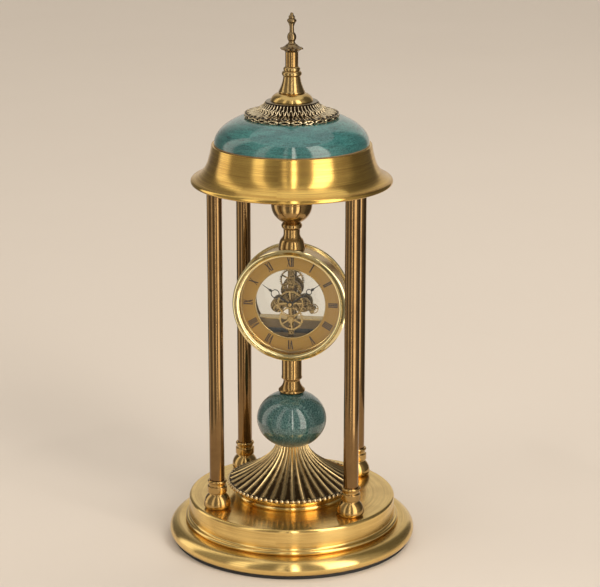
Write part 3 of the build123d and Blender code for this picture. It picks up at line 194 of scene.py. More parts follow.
def finish_mesh(name, mesh_bm, material, body, nodes=(), sharp=38):
    """Turns a bmesh in metres into a piece that rides a body and may replace CAD nodes."""
    bmesh.ops.remove_doubles(mesh_bm, verts=mesh_bm.verts, dist=MM / 10000)
    bmesh.ops.recalc_face_normals(mesh_bm, faces=mesh_bm.faces)
    for edge in mesh_bm.edges:
        if len(edge.link_faces) == 2 and edge.calc_face_angle(0) > math.radians(sharp):
            edge.smooth = False
    for face in mesh_bm.faces:
        face.smooth = True
    piece = put_in_scene(name, mesh_bm, material)
    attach(piece, body)
    if nodes:
        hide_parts(*nodes)
    return piece


def upright_place(centre=(0.0, 0.0)):
    return lambda x, y, z: Vector(((centre[0] + x) * MM, (centre[1] + y) * MM, z * MM))


def dial_place(x, z, y):
    """Place in the dial's frame: across, up from the dial's centre, and depth."""
    return Vector((x * MM, y * MM, (DIAL_Z + z) * MM))


def lathe_points(points, count, place):
    """Rings of positions, one for each outline point."""
    rings = []
    for radius, height in points:
        ring = []
        for k in range(count):
            angle = 2 * math.pi * k / count
            ring.append(place(radius * math.cos(angle), radius * math.sin(angle), height))
        rings.append(ring)
    return rings


def bridge(mesh_bm, a, b):
    """Quads between two closed rings of vertices."""
    for k in range(len(a)):
        n = (k + 1) % len(a)
        mesh_bm.faces.new((a[k], a[n], b[n], b[k]))


def skin(mesh_bm, rings):
    """Closed tube of quads through rings of positions."""
    made = [[mesh_bm.verts.new(p) for p in ring] for ring in rings]
    for index, ring in enumerate(made):
        bridge(mesh_bm, ring, made[(index + 1) % len(made)])


def lathe(name, points, material, body, nodes=(), place=None, count=160):
    """Turned piece from a closed outline of (radius, height)."""
    mesh_bm = bmesh.new()
    skin(mesh_bm, lathe_points(points, count, place or upright_place()))
    return finish_mesh(name, mesh_bm, material, body, nodes)


def prism(mesh_bm, outline, front, back):
    """Adds a flat closed slab in the dial's plane; the outline is in (across, up)."""
    near = [mesh_bm.verts.new(dial_place(x, z, front)) for x, z in outline]
    far = [mesh_bm.verts.new(dial_place(x, z, back)) for x, z in outline]
    mesh_bm.faces.new(near)
    mesh_bm.faces.new(far[::-1])
    for k in range(len(outline)):
        n = (k + 1) % len(outline)
        mesh_bm.faces.new((near[k], far[k], far[n], near[n]))


# Materials


def fill(tree, node, inputs):
    """Sets each input of a node to a value, or links it to another node's output."""
    for key, value in inputs.items():
        if isinstance(value, bpy.types.NodeSocket):
            tree.links.new(value, node.inputs[key])
        else:
            node.inputs[key].default_value = value


def add_node(tree, kind, inputs=None, **settings):
    node = tree.nodes.new(kind)
    for key, value in settings.items():
        setattr(node, key, value)
    fill(tree, node, inputs or {})
    return node


def opaque(colour):
    """Colour with its alpha; another node's output is returned as it is."""
    return colour if isinstance(colour, bpy.types.NodeSocket) else (*colour, 1.0)


def darker(colour, share):
    return [part * share for part in colour]


ANGLE_SHARE = 0.0012  # how far the angle shifts a lathe mark, so that the rings aren't quite even


class Nodes:
    """Material with short ways to add and join shader nodes."""

    def __init__(self, name):
        self.material = bpy.data.materials.new(name)
        self.material.use_nodes = True
        self.tree = self.material.node_tree
        self.tree.nodes.clear()
        self.output = self.add("ShaderNodeOutputMaterial")
        self.shader = self.add("ShaderNodeBsdfPrincipled")
        self.show(self.shader)

    def add(self, kind, inputs=None, **settings):
        return add_node(self.tree, kind, inputs, **settings)

    def show(self, shader):
        fill(self.tree, self.output, {"Surface": shader.outputs[0]})

    def surface(self, inputs):
        fill(self.tree, self.shader, inputs)

    def maths(self, operation, first, second=0.0):
        return self.add("ShaderNodeMath", {0: first, 1: second}, operation=operation).outputs[0]

    def vector(self, operation, first, second):
        return self.add("ShaderNodeVectorMath", {0: first, 1: second}, operation=operation).outputs[0]

    def spread(self, value, low, high, from_low=0.0, from_high=1.0):
        """Maps a range to low and high, and holds it there outside the range."""
        return self.add("ShaderNodeMapRange", {"Value": value, "From Min": from_low, "From Max": from_high,
                                               "To Min": low, "To Max": high}).outputs[0]

    def mix(self, factor, first, second):
        return self.add("ShaderNodeMix", {0: factor, 6: opaque(first), 7: opaque(second)},
                        data_type="RGBA").outputs[2]

    def noise(self, vector, scale, detail=3.0, roughness=0.55, distortion=0.0):
        return self.add("ShaderNodeTexNoise", {"Vector": vector, "Scale": scale, "Detail": detail,
                                               "Roughness": roughness, "Distortion": distortion}).outputs[0]

    def bump(self, height, strength, distance=0.0001):
        return self.add("ShaderNodeBump", {"Height": height, "Strength": strength,
                                           "Distance": distance}).outputs[0]

    def object_place(self, centre=(0.0, 0.0, 0.0), scale=(1.0, 1.0, 1.0)):
        coordinate = self.add("ShaderNodeTexCoord").outputs["Object"]
        return self.vector("MULTIPLY", self.vector("SUBTRACT", coordinate, centre), scale)

    def turned_place(self, axis, centre):
        """Position as (distance from the axis, height along it, a little of the angle)."""
        parts = self.add("ShaderNodeSeparateXYZ", {0: self.object_place(centre)}).outputs
        first, second, height = {"Z": ("X", "Y", "Z"), "Y": ("X", "Z", "Y")}[axis]
        flat = self.add("ShaderNodeCombineXYZ", {0: parts[first], 1: parts[second]}).outputs[0]
        radius = self.add("ShaderNodeVectorMath", {0: flat}, operation="LENGTH").outputs["Value"]
        angle = self.maths("MULTIPLY", self.maths("ARCTAN2", parts[first], parts[second]), ANGLE_SHARE)
        return self.add("ShaderNodeCombineXYZ", {0: radius, 1: parts[height], 2: angle}).outputs[0]


def turned_metal(name, colour, shade, roughness, anisotropy, tarnish=0.35, streak=0.5, axis="Z",
                 centre=(0.0, 0.0, 0.0)):
    """Brass brushed or polished on a lathe: fine rings round the axis, and faint tarnish."""
    n = Nodes(name)
    rings = n.turned_place(axis, centre)
    fine = n.noise(rings, 1500.0, 4.0, 0.7)
    broad = n.noise(rings, 260.0, 3.0, 0.6)
    cloud = n.noise(n.object_place(), 28.0, 4.0, 0.6)
    lines = n.maths("ADD", n.maths("MULTIPLY", fine, 0.6), n.maths("MULTIPLY", broad, 0.4))
    streaks = n.maths("MULTIPLY", n.spread(lines, 0.0, 1.0, 0.35, 0.65), streak)
    dull = n.maths("MULTIPLY", n.spread(cloud, 0.0, 1.0, 0.48, 0.75), tarnish)
    grain = n.spread(lines, roughness * 0.85, roughness * 1.2, 0.35, 0.65)
    n.surface({
        "Base Color": n.mix(dull, n.mix(streaks, colour, shade), shade),
        "Metallic": 1.0,
        "Roughness": n.maths("ADD", grain, n.maths("MULTIPLY", dull, 0.12)),
        "Normal": n.bump(lines, 0.05)})
    if anisotropy:
        n.surface({
            "Tangent": n.add("ShaderNodeTangent", direction_type="RADIAL", axis=axis).outputs[0],
            "Anisotropic": anisotropy,
            "Anisotropic Rotation": 0.25})
    return n.material


def cast_metal(name, bright, dark, roughness, scale, hollow=None):
    """Cast brass with painted shade in its hollows, taken from low values of a mesh attribute; with a hollow given,
    dark instead in random patches where noise is low.
    """
    n = Nodes(name)
    grain = n.noise(n.object_place(), scale, 4.0, 0.6)
    if hollow is None:
        painted_shading = n.add("ShaderNodeAttribute", attribute_name="painted_shading").outputs["Fac"]
        # Painted shade: the attribute is low in hollows and between parts, darkening them, with a little grain
        # added.
        shading_and_grain = n.maths("ADD", painted_shading, n.spread(grain, -0.12, 0.12, 0.3, 0.7))
        bright_share = n.spread(shading_and_grain, 0.0, 1.0, 0.15, 0.85)
    else:
        bright_share = n.spread(grain, 0.0, 1.0, hollow, hollow + 0.22)
    n.surface({
        "Base Color": n.mix(bright_share, dark, bright),
        "Metallic": 1.0,
        "Roughness": n.spread(bright_share, roughness + 0.18, roughness),
        "Normal": n.bump(grain, 0.12, 0.0002)})
    return n.material


def sheet(name, colour, shade, roughness, metallic=1.0, scale=700.0):
    """Flat brushed sheet metal, dark steel or print, with a short grain."""
    n = Nodes(name)
    grain = n.noise(n.object_place(scale=(1.0, 1.0, 0.18)), scale, 4.0, 0.65)
    cloud = n.noise(n.object_place(), 60.0, 3.0)
    patches = n.maths("MULTIPLY", n.spread(n.maths("ADD", grain, cloud), 0.0, 1.0, 0.75, 1.3), 0.6)
    n.surface({
        "Base Color": n.mix(patches, colour, shade),
        "Metallic": metallic,
        "Roughness": n.spread(grain, roughness * 0.8, roughness * 1.25, 0.3, 0.7),
        "Normal": n.bump(grain, 0.06)})
    return n.material


def soft_plastic(name, colour, shade, roughness, scale=2500.0):
    """Moulded plastic, rubber or board with a fine matt grain."""
    n = Nodes(name)
    grain = n.noise(n.object_place(), scale, 2.0)
    n.surface({
        "Base Color": n.mix(n.noise(n.object_place(), 90.0, 3.0), colour, shade),
        "Roughness": n.spread(grain, roughness * 0.85, roughness * 1.1, 0.3, 0.7),
        "Normal": n.bump(grain, 0.15)})
    return n.material


def glaze(name, deep, pale, stretch, brush, cell, crack_colour, crackle):
    """Glossy blue-green glaze: cloudy depth, speckle, brush strokes and a net of hair cracks under a clear coat."""
    n = Nodes(name)
    cloud = n.noise(n.object_place(scale=(1.0, 1.0, stretch)), 34.0, 5.0, 0.62, 0.6)
    speckle = n.noise(n.object_place(), 900.0, 3.0, 0.7)
    strokes = n.noise(n.object_place(scale=(1.0, 1.0, 9.0)), 95.0, 4.0, 0.65, 1.2)
    body = n.mix(n.spread(cloud, 0.0, 1.0, 0.32, 0.68), deep, pale)
    body = n.mix(n.spread(speckle, 0.0, 0.55, 0.42, 0.68), body, darker(deep, 0.55))
    body = n.mix(n.spread(strokes, 0.0, brush, 0.50, 0.62), body, darker(deep, 0.5))
    warp = n.vector("MULTIPLY", n.noise(n.object_place(), 160.0, 2.0), (0.004, 0.004, 0.004))
    cells = n.add("ShaderNodeTexVoronoi", {"Vector": n.vector("ADD", n.object_place(), warp), "Scale": 1.0 / cell},
                  feature="DISTANCE_TO_EDGE")
    cracks = n.spread(cells.outputs["Distance"], 1.0, 0.0, 0.0, 0.10)
    n.surface({
        "Base Color": n.mix(n.maths("MULTIPLY", cracks, crackle), body, crack_colour),
        "Roughness": 0.28,
        "IOR": 1.52,
        "Specular IOR Level": 0.15,
        "Coat Weight": 1.0,
        "Coat Roughness": 0.012,
        "Coat IOR": 1.7,
        "Normal": n.bump(cracks, 0.08)})
    return n.material


def clear_glass(name):
    """Clear flat glass that lets lamp light through to the dial."""
    n = Nodes(name)
    n.surface({
        "Base Color": (0.97, 0.99, 0.98, 1.0),
        "Transmission Weight": 1.0,
        "IOR": 1.46,
        "Roughness": n.spread(n.noise(n.object_place(), 40.0, 2.0), 0.0, 0.02, 0.4, 0.7)})
    for_shadow = n.add("ShaderNodeLightPath").outputs["Is Shadow Ray"]
    through = n.add("ShaderNodeBsdfTransparent", {"Color": (0.96, 0.97, 0.96, 1.0)})
    n.show(n.add("ShaderNodeMixShader", {0: for_shadow, 1: n.shader.outputs[0], 2: through.outputs[0]}))
    return n.material


ON_DIAL = {"axis": "Y", "centre": (0.0, 0.0, DIAL_Z * MM)}
BASE_BRASS = turned_metal("base_brass", (0.96, 0.70, 0.27), (0.44, 0.27, 0.08), 0.20, 0.88)
CANOPY_BRASS = turned_metal("satin_brass", (0.90, 0.61, 0.17), (0.42, 0.22, 0.055), 0.21, 0.88, streak=0.75)
FOOT_BRASS = turned_metal("foot_brass", (0.56, 0.37, 0.14), (0.22, 0.12, 0.04), 0.14, 0.0, 0.5, 0.3)
CAP_BRASS = turned_metal("cap_brass", (0.70, 0.49, 0.18), (0.30, 0.18, 0.06), 0.20, 0.6, 0.45)
BELL_BRASS = turned_metal("bell_brass", (0.52, 0.36, 0.15), (0.20, 0.115, 0.04), 0.16, 0.4, 0.5)
SPINDLE_BRASS = turned_metal("spindle_brass", (0.48, 0.31, 0.12), (0.16, 0.08, 0.028), 0.15, 0.4, 0.6)
FINIAL_BRASS = turned_metal("finial_brass", (0.34, 0.24, 0.12), (0.06, 0.035, 0.018), 0.13, 0.0, 0.8)
COLUMN_BRASS = turned_metal("column_brass", (0.27, 0.165, 0.07), (0.09, 0.045, 0.02), 0.12, 0.0, 0.4, 0.25)
DRUM_BRASS = turned_metal("drum_side_brass", (0.66, 0.50, 0.28), (0.44, 0.30, 0.15), 0.24, 0.4, **ON_DIAL)
BEZEL_BRASS = turned_metal("bezel_brass", (0.90, 0.78, 0.44), (0.62, 0.46, 0.18), 0.07, 0.2, 0.15, 0.25, **ON_DIAL)
DIAL_BRASS = turned_metal("chapter_brass", (0.50, 0.30, 0.08), (0.36, 0.21, 0.05), 0.38, 0.3, 0.25, 0.4, **ON_DIAL)
RIM_BRASS = turned_metal("rim_brass", (0.66, 0.50, 0.22), (0.34, 0.22, 0.08), 0.14, 0.2, 0.1, 0.2, **ON_DIAL)
# The dark colour of the fluted, filigree and beading brass is painted shade in their hollows; the movement's dark
# colour falls in random patches.
FLUTED = cast_metal("fluted_brass", (0.78, 0.58, 0.29), (0.05, 0.03, 0.013), 0.2, 300.0)
FILIGREE = cast_metal("filigree_brass", (0.94, 0.78, 0.52), (0.020, 0.012, 0.006), 0.16, 500.0)
BEADING = cast_metal("beading_brass", (0.72, 0.56, 0.33), (0.045, 0.027, 0.013), 0.14, 700.0)
DARK_BRASS = cast_metal("movement_dark_metal", (0.62, 0.44, 0.19), (0.030, 0.018, 0.009), 0.2, 900.0, 0.43)
DOME_GLAZE = glaze("dome_glaze", (0.010, 0.078, 0.080), (0.048, 0.20, 0.185), 5.0, 0.75,
                   0.0024, (0.10, 0.24, 0.23), 0.35)
BALL_GLAZE = glaze("ball_glaze", (0.012, 0.048, 0.052), (0.022, 0.085, 0.078), 1.0, 0.0,
                   0.0020, (0.22, 0.38, 0.34), 0.5)
WHEEL_BRASS = sheet("movement_brass", (0.66, 0.48, 0.21), (0.30, 0.19, 0.07), 0.22)
STEEL = sheet("plain_steel", (0.55, 0.55, 0.53), (0.38, 0.38, 0.37), 0.36)
BLACK = sheet("hand_black", (0.008, 0.007, 0.006), (0.014, 0.012, 0.010), 0.3, 0.0, 900.0)
PRINT = sheet("numeral_print", (0.030, 0.010, 0.006), (0.018, 0.007, 0.004), 0.55, 0.0, 900.0)
SLEEVE = sheet("cell_sleeve", (0.03, 0.035, 0.04), (0.05, 0.055, 0.06), 0.3, 0.3)
PLASTIC = soft_plastic("housing_plastic", (0.13, 0.082, 0.036), (0.19, 0.125, 0.058), 0.38)
RUBBER = soft_plastic("pad_rubber", (0.014, 0.014, 0.014), (0.022, 0.021, 0.02), 0.75, 1600.0)
BOARD = soft_plastic("gasket_board", (0.22, 0.14, 0.07), (0.32, 0.22, 0.12), 0.85, 1200.0)
GLASS = clear_glass("clear_glass")

for material, nodes in (
        (STEEL, ("base_plate", "tie_rods", "rod_nuts", "centre_rods", "ceiling_plate", "retaining_ring",
                 "plate_screws")),
        (RUBBER, ("base_pad", "grip_band")),
        (BOARD, ("dome_gasket",)),
        (GLASS, ("front_lens", "rear_lens")),
        (DIAL_BRASS, ("dial_spacer",)),
        (PLASTIC, ("mounting_ring", "quartz_module", "setting_knob")),
        (SLEEVE, ("battery",)),
        (DARK_BRASS, ("front_plate", "back_plate", "upper_wheel")),
        (WHEEL_BRASS, ("plate_pillars", "deck_plate", "centre_wheel", "third_wheel", "balance_ring",
                       "setting_wheel", "minute_wheel", "hour_wheel", "hand_nut")),
        (BLACK, ("minute_hand", "hour_hand"))):
    for node in nodes:
        NODES[node].data.materials.clear()
        NODES[node].data.materials.append(material)


# Base

BASE_RADIUS = 107.5
BASE_WALL = 2.0
BASE_CORNER = 0.5
PAD_TOP = level("base_pad", 1)
TORUS_TOP = level("base_shell", 0)
TORUS_CREST_RADIUS = 96.0
TORUS_WAIST = PAD_TOP + 5.85
TORUS_FOOT_RADIUS = BASE_RADIUS - 2.5
STEP_RADIUS = 90.3
STEP_INNER_RADIUS = STEP_RADIUS - BASE_WALL
STEP_SHOULDER = 2.5
STEP_HOLE = 1.0
BEAD = 2.0
BEAD_TOP = TORUS_TOP + 2 * BEAD
BEAD_ROOT = STEP_RADIUS + BEAD / 2
lathe("base_foot_turning", profile(
    (STEP_INNER_RADIUS, TORUS_TOP),
    (TORUS_CREST_RADIUS, TORUS_TOP),
    (BASE_RADIUS, TORUS_WAIST, 2.73),
    (TORUS_FOOT_RADIUS, PAD_TOP, 1.04),
    (TORUS_FOOT_RADIUS - BASE_WALL, PAD_TOP),
    (TORUS_FOOT_RADIUS - BASE_WALL, PAD_TOP + 6.0),
    (TORUS_CREST_RADIUS - BASE_WALL, TORUS_TOP - BASE_WALL),
    (STEP_INNER_RADIUS, TORUS_TOP - BASE_WALL),
    corner=BASE_CORNER), BASE_BRASS, "frame", ("base_foot",), count=256)
lathe("base_step_turning", profile(
    (STEP_HOLE, BASE_TOP),
    (STEP_RADIUS - STEP_SHOULDER, BASE_TOP),
    (STEP_RADIUS, BASE_TOP - STEP_SHOULDER, STEP_SHOULDER * QUARTER_ROUND),
    (STEP_RADIUS, BEAD_TOP + BEAD),
    (BEAD_ROOT, BEAD_TOP, -BEAD * 0.2),
    (BEAD_ROOT + BEAD / 2, TORUS_TOP, BEAD * 0.85),
    (STEP_INNER_RADIUS, TORUS_TOP),
    (STEP_INNER_RADIUS, BASE_TOP - STEP_SHOULDER),
    (STEP_INNER_RADIUS - STEP_SHOULDER, BASE_TOP - BASE_WALL),
    (STEP_HOLE, BASE_TOP - BASE_WALL),
    corner=BASE_CORNER), BASE_BRASS, "frame", ("base_shell",), count=256)


# Columns

COLUMN_WALL = 1.0
FOOT_FLARE_RADIUS = 11.5
FOOT_NECK_RADIUS = 7.2
FOOT_COLLAR_RADIUS = 8.4
FOOT_TOP_RADIUS = 7.6
FOOT_NECK_RISE = 13.0
FOOT_COLLAR_RISE = 7.5
FOOT_TOP_RISE = 5.0


def column_foot_outline(bottom):
    neck = bottom + FOOT_NECK_RISE
    collar = neck + FOOT_COLLAR_RISE
    top = collar + FOOT_TOP_RISE
    return profile(
        (ROD_HOLE, bottom),
        (FOOT_FLARE_RADIUS - 1.6, bottom),
        (FOOT_FLARE_RADIUS, bottom + 4.2, -0.6),
        (FOOT_NECK_RADIUS, neck, -1.0),
        (FOOT_NECK_RADIUS, neck + 1.0),
        (FOOT_COLLAR_RADIUS, neck + 1.6),
        (FOOT_COLLAR_RADIUS, collar - 0.6),
        (FOOT_NECK_RADIUS, collar),
        (FOOT_NECK_RADIUS, collar + 0.8),
        (FOOT_TOP_RADIUS, top - 2.6),
        (FOOT_TOP_RADIUS, top, -0.7),
        (ROD_HOLE, top),
        corner=0.3)


for corner in CORNERS:
    tube, foot = "column_tube_" + corner, "column_foot_" + corner
    low, high = level(tube, 0), level(tube, 1)
    radius = half_width(tube)
    here = upright_place(middle(tube).xy)
    lathe("column_" + corner, profile(
        (radius, low), (radius, high), (radius - COLUMN_WALL, high), (radius - COLUMN_WALL, low),
        corner=0.2), COLUMN_BRASS, "frame", (tube,), here, 72)
    lathe("foot_" + corner, column_foot_outline(level(foot, 0)), FOOT_BRASS, "frame", (foot,), here, 72)


# Pedestal, cone and ball

PEDESTAL_RADIUS = 48.7
PEDESTAL_WAIST_RADIUS = 46.0
PEDESTAL_BORE = 42.0
PEDESTAL_BAND = BASE_TOP + 4.0
RIM_RADIUS = 56.8
RIM_BAND_RADIUS = RIM_RADIUS - 5.0
RIM_SEAT = CONE_BOTTOM - 1.2
lathe("pedestal_turning", profile(
    (PEDESTAL_BORE, BASE_TOP),
    (PEDESTAL_RADIUS, BASE_TOP),
    (PEDESTAL_RADIUS, PEDESTAL_BAND, -0.9),
    (PEDESTAL_RADIUS - 0.8, PEDESTAL_BAND),
    (PEDESTAL_WAIST_RADIUS, PEDESTAL_BAND + 7.2, -3.0),
    (RIM_BAND_RADIUS, RIM_SEAT),
    (RIM_BAND_RADIUS, CONE_BOTTOM),
    (PEDESTAL_BORE, CONE_BOTTOM),
    corner=0.4), BASE_BRASS, "frame", ("pedestal_foot",), count=200)

CONE_RIM = 55.5
CONE_NECK = 14.0
CONE_FLARE = 1.7
CONE_ROWS = 40
FLUTES = 36
FLUTE_DEPTH = 0.07
POINTS_PER_FLUTE = 14


def fluted_cone():
    """Cone of narrow ridges and hollow valleys, with painted shade in the valleys and lighter towards the top, kept
    for its material.
    """
    mesh_bm = bmesh.new()
    painted_shading = mesh_bm.verts.layers.float.new("painted_shading")
    count = FLUTES * POINTS_PER_FLUTE
    rings = []
    for row in range(CONE_ROWS + 1):
        share = row / CONE_ROWS
        z = CONE_BOTTOM + (CONE_TOP - CONE_BOTTOM) * share
        ridge = CONE_NECK + (CONE_RIM - CONE_NECK) * (1 - share) ** CONE_FLARE
        ring = []
        for k in range(count):
            turn = (k / POINTS_PER_FLUTE) % 1.0
            valley = math.sin(math.pi * turn) ** 0.8
            x, y = polar(ridge * (1 - FLUTE_DEPTH * valley), 360 * k / count)
            vert = mesh_bm.verts.new((x * MM, y * MM, z * MM))
            # Painted shade: dark in the valleys, and lighter towards the top.
            vert[painted_shading] = (1 - valley) ** 1.2 * 0.9 + 0.50 * share ** 1.5 + 0.05
            ring.append(vert)
        rings.append(ring)
    for below, above in zip(rings, rings[1:]):
        bridge(mesh_bm, below, above)
    mesh_bm.faces.new(rings[0][::-1])
    mesh_bm.faces.new(rings[-1])
    return finish_mesh("fluted_cone_casting", mesh_bm, FLUTED, "frame", ("fluted_cone",), 60)


fluted_cone()

BEADS = 72
BEAD_CIRCLE = RIM_RADIUS - 2.2
BEAD_RADII = (2.3, 2.0, 2.1)


def bead(mesh_bm, turn, segments=12, rows=8):
    """Adds one oval bead at a direction in degrees round the axis."""
    c, s = math.cos(math.radians(turn)), math.sin(math.radians(turn))

    def place(out, aside, up):
        out += BEAD_CIRCLE
        return mesh_bm.verts.new(((out * c - aside * s) * MM, (out * s + aside * c) * MM,
                                  (CONE_BOTTOM - 1.5 + up) * MM))

    rings = []
    for row in range(1, rows):
        tilt = math.pi * row / rows
        ring = []
        for k in range(segments):
            x, y = polar(math.sin(tilt), 360 * k / segments)
            ring.append(place(BEAD_RADII[0] * x, BEAD_RADII[1] * y, BEAD_RADII[2] * math.cos(tilt)))
        rings.append(ring)
    top, low = place(0.0, 0.0, BEAD_RADII[2]), place(0.0, 0.0, -BEAD_RADII[2])
    for k in range(segments):
        n = (k + 1) % segments
        mesh_bm.faces.new((top, rings[0][k], rings[0][n]))
        mesh_bm.faces.new((low, rings[-1][n], rings[-1][k]))
    for a, b in zip(rings, rings[1:]):
        bridge(mesh_bm, b, a)


def beaded_rim():
    """Row of beads on a thin ring round the foot of the cone, with painted shade on the ring and between the beads.
    """
    mesh_bm = bmesh.new()
    painted_shading = mesh_bm.verts.layers.float.new("painted_shading")
    skin(mesh_bm, lathe_points(profile(
        (RIM_BAND_RADIUS, CONE_BOTTOM),
        (RIM_RADIUS - 2.8, CONE_BOTTOM),
        (RIM_RADIUS - 3.0, CONE_BOTTOM - 3.6, 1.0),
        (RIM_BAND_RADIUS, RIM_SEAT),
        corner=0.3), 200, upright_place()))
    for index in range(BEADS):
        bead(mesh_bm, 360 * index / BEADS)
    for vert in mesh_bm.verts:
        # Painted shade: darker inwards of the bead circle, on the ring and between the beads.
        reach = vert.co.xy.length / MM - BEAD_CIRCLE
        vert[painted_shading] = min(1.0, max(0.0, (reach + 0.2) / 1.3))
    return finish_mesh("beaded_rim", mesh_bm, BEADING, "frame", ("bead_rim",), 70)


beaded_rim()

BALL_RADIUS = half_width("ceramic_ball")
BALL_HALF_HEIGHT = 25.4
BALL_WALL = 8.0
lathe("glazed_ball",
      half_ellipse(BALL_RADIUS, BALL_HALF_HEIGHT, BALL_Z, -85.5, 85.5, 60)
      + half_ellipse(BALL_RADIUS - BALL_WALL, BALL_HALF_HEIGHT - BALL_WALL, BALL_Z, 82, -82, 30),
      BALL_GLAZE, "frame", ("ceramic_ball",))


# Spindles and hanging cup

SEAT = level("lower_spindle", 0) + 1.5
SEAT_RADIUS = 11.1
NECK = SEAT + 10.5
NECK_RADIUS = 7.2
COLLAR_RADIUS = 9.0
lathe("lower_spindle_turning", profile(
    (ROD_HOLE, SEAT - 0.6),
    (SEAT_RADIUS - 0.7, SEAT - 0.6),
    (SEAT_RADIUS, SEAT),
    (SEAT_RADIUS, SEAT + 2.4, -0.5),
    (NECK_RADIUS, NECK, 1.0),
    (NECK_RADIUS + 0.4, NECK + 0.9),
    (COLLAR_RADIUS, NECK + 1.9, -0.3),
    (COLLAR_RADIUS, NECK + 3.0),
    (COLLAR_RADIUS - 0.3, NECK + 3.4),
    (COLLAR_RADIUS - 0.3, DRUM_BOTTOM + 0.9),
    (ROD_HOLE, DRUM_BOTTOM + 0.9),
    corner=0.25), SPINDLE_BRASS, "frame", ("lower_spindle",), count=96)

RING_Z = CUP_Z - 4.4
RING_RADIUS = 8.1
lathe("upper_spindle_turning", profile(
    (ROD_HOLE, DRUM_TOP - 1.4),
    (SEAT_RADIUS, DRUM_TOP - 1.4),
    (SEAT_RADIUS, DRUM_TOP + 2.4, -0.3),
    (9.4, DRUM_TOP + 8.0, -0.3),
    (NECK_RADIUS - 0.1, DRUM_TOP + 14.0, 0.8),
    (NECK_RADIUS, RING_Z - 1.6),
    (RING_RADIUS, RING_Z - 1.0),
    (RING_RADIUS, CUP_Z - 1.2, -0.8),
    (7.0, CUP_Z),
    (ROD_HOLE, CUP_Z),
    corner=0.25), SPINDLE_BRASS, "frame", ("upper_spindle",), count=96)

CUP_RADIUS = 17.5
CUP_RIM = CUP_Z + 19.0
BOSS_RADIUS = 12.5
lathe("hanging_cup_turning", profile(
    (ROD_HOLE, CUP_Z),
    (7.9, CUP_Z),
    (CUP_RADIUS, CUP_RIM - 2.0, -3.2),
    (CUP_RADIUS, CUP_RIM, -0.5),
    (BOSS_RADIUS, CUP_RIM + 0.4),
    (BOSS_RADIUS, CEILING_Z - 4.0),
    (BOSS_RADIUS + 3.0, CEILING_Z, 1.0),
    (ROD_HOLE, CEILING_Z),
    corner=0.3), SPINDLE_BRASS, "frame", ("hanging_cup",), count=96)


# Drum and bezels

DRUM_FRONT, DRUM_BACK = -12.0, 12.0
DRUM_WALL = 1.5
lathe("drum_side", profile(
    (DRUM_RADIUS - DRUM_WALL, DRUM_FRONT),
    (DRUM_RADIUS, DRUM_FRONT),
    (DRUM_RADIUS, DRUM_BACK),
    (DRUM_RADIUS - DRUM_WALL, DRUM_BACK),
    corner=0.15), DRUM_BRASS, "frame", ("drum_shell",), dial_place, 200)

BEZEL_RADIUS = 49.3
BEZEL_CREST_RADIUS = 46.4
BEZEL_OPENING = 43.2
SKIRT_RADIUS = 45.92
LENS_POCKET_RADIUS = 44.32


def bezel(name, material, body, node, edge, crest, skirt_end, lens):
    """Rounded bezel over an edge of the drum, with a skirt inside the drum and a pocket for its glass."""
    toward = 1 if crest > edge else -1
    lathe(name, profile(
        (SKIRT_RADIUS, skirt_end),
        (SKIRT_RADIUS, edge),
        (BEZEL_RADIUS - 0.7, edge),
        (BEZEL_RADIUS, edge + (crest - edge) * 0.35, toward * 0.2),
        (BEZEL_CREST_RADIUS, crest, toward * 0.9),
        (BEZEL_OPENING + 0.2, lens + toward * 1.2, toward * 0.9),
        (BEZEL_OPENING, lens),
        (LENS_POCKET_RADIUS, lens),
        (LENS_POCKET_RADIUS, skirt_end),
        corner=0.3), material, body, (node,), dial_place, 220)


bezel("front_bezel_turning", BEZEL_BRASS, "insert", "front_bezel", DRUM_FRONT, -18.8, 0.6,
      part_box("front_lens")[0].y / MM)
bezel("rear_bezel_turning", BEZEL_BRASS, "frame", "rear_bezel", DRUM_BACK, 17.2, 8.0,
      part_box("rear_lens")[1].y / MM)


# Dial

DIAL_FRONT = -7.0
DIAL_BACK = DIAL_FRONT + 1.0
DIAL_OPENING = 30.6
DIAL_OUTER = 44.3
lathe("chapter_disc", profile(
    (DIAL_OPENING, DIAL_BACK), (DIAL_OPENING, DIAL_FRONT), (DIAL_OUTER, DIAL_FRONT), (DIAL_OUTER, DIAL_BACK),
    corner=0.1), DIAL_BRASS, "insert", ("chapter_ring",), dial_place, 200)
lathe("chapter_inner_rim", profile(
    (DIAL_OPENING - 0.6, DIAL_BACK), (DIAL_OPENING - 0.6, DIAL_FRONT - 0.6), (DIAL_OPENING + 0.2, DIAL_FRONT - 0.6),
    (DIAL_OPENING + 0.3, DIAL_FRONT + 0.2), (DIAL_OPENING, DIAL_BACK),
    corner=0.3), RIM_BRASS, "insert", (), dial_place, 200)
lathe("chapter_outer_rim", profile(
    (DIAL_OUTER - 2.2, DIAL_FRONT), (DIAL_OUTER - 2.0, DIAL_FRONT - 0.6), (DIAL_OUTER - 1.2, DIAL_FRONT - 0.9),
    (DIAL_OUTER - 1.1, DIAL_FRONT),
    corner=0.2), RIM_BRASS, "insert", (), dial_place, 200)

NUMERALS = ("XII", "I", "II", "III", "IIII", "V", "VI", "VII", "VIII", "IX", "X", "XI")
NUMERAL_HEIGHT = 8.0
NUMERAL_FOOT = 32.8
PRINT_THICKNESS = 0.06
PRINT_SINK = 0.02
THICK, THIN, SERIF = 1.08, 0.55, 0.45


def stroke(foot, head, width):
    """Slanted bar from the foot line to the head line."""
    half = width / 2
    return [(foot - half, 0.0), (foot + half, 0.0), (head + half, NUMERAL_HEIGHT), (head - half, NUMERAL_HEIGHT)]


def serif(centre, width, low=0.0):
    left, right = centre - width / 2, centre + width / 2
    return [(left, low), (right, low), (right, low + SERIF), (left, low + SERIF)]


HEAD = NUMERAL_HEIGHT - SERIF
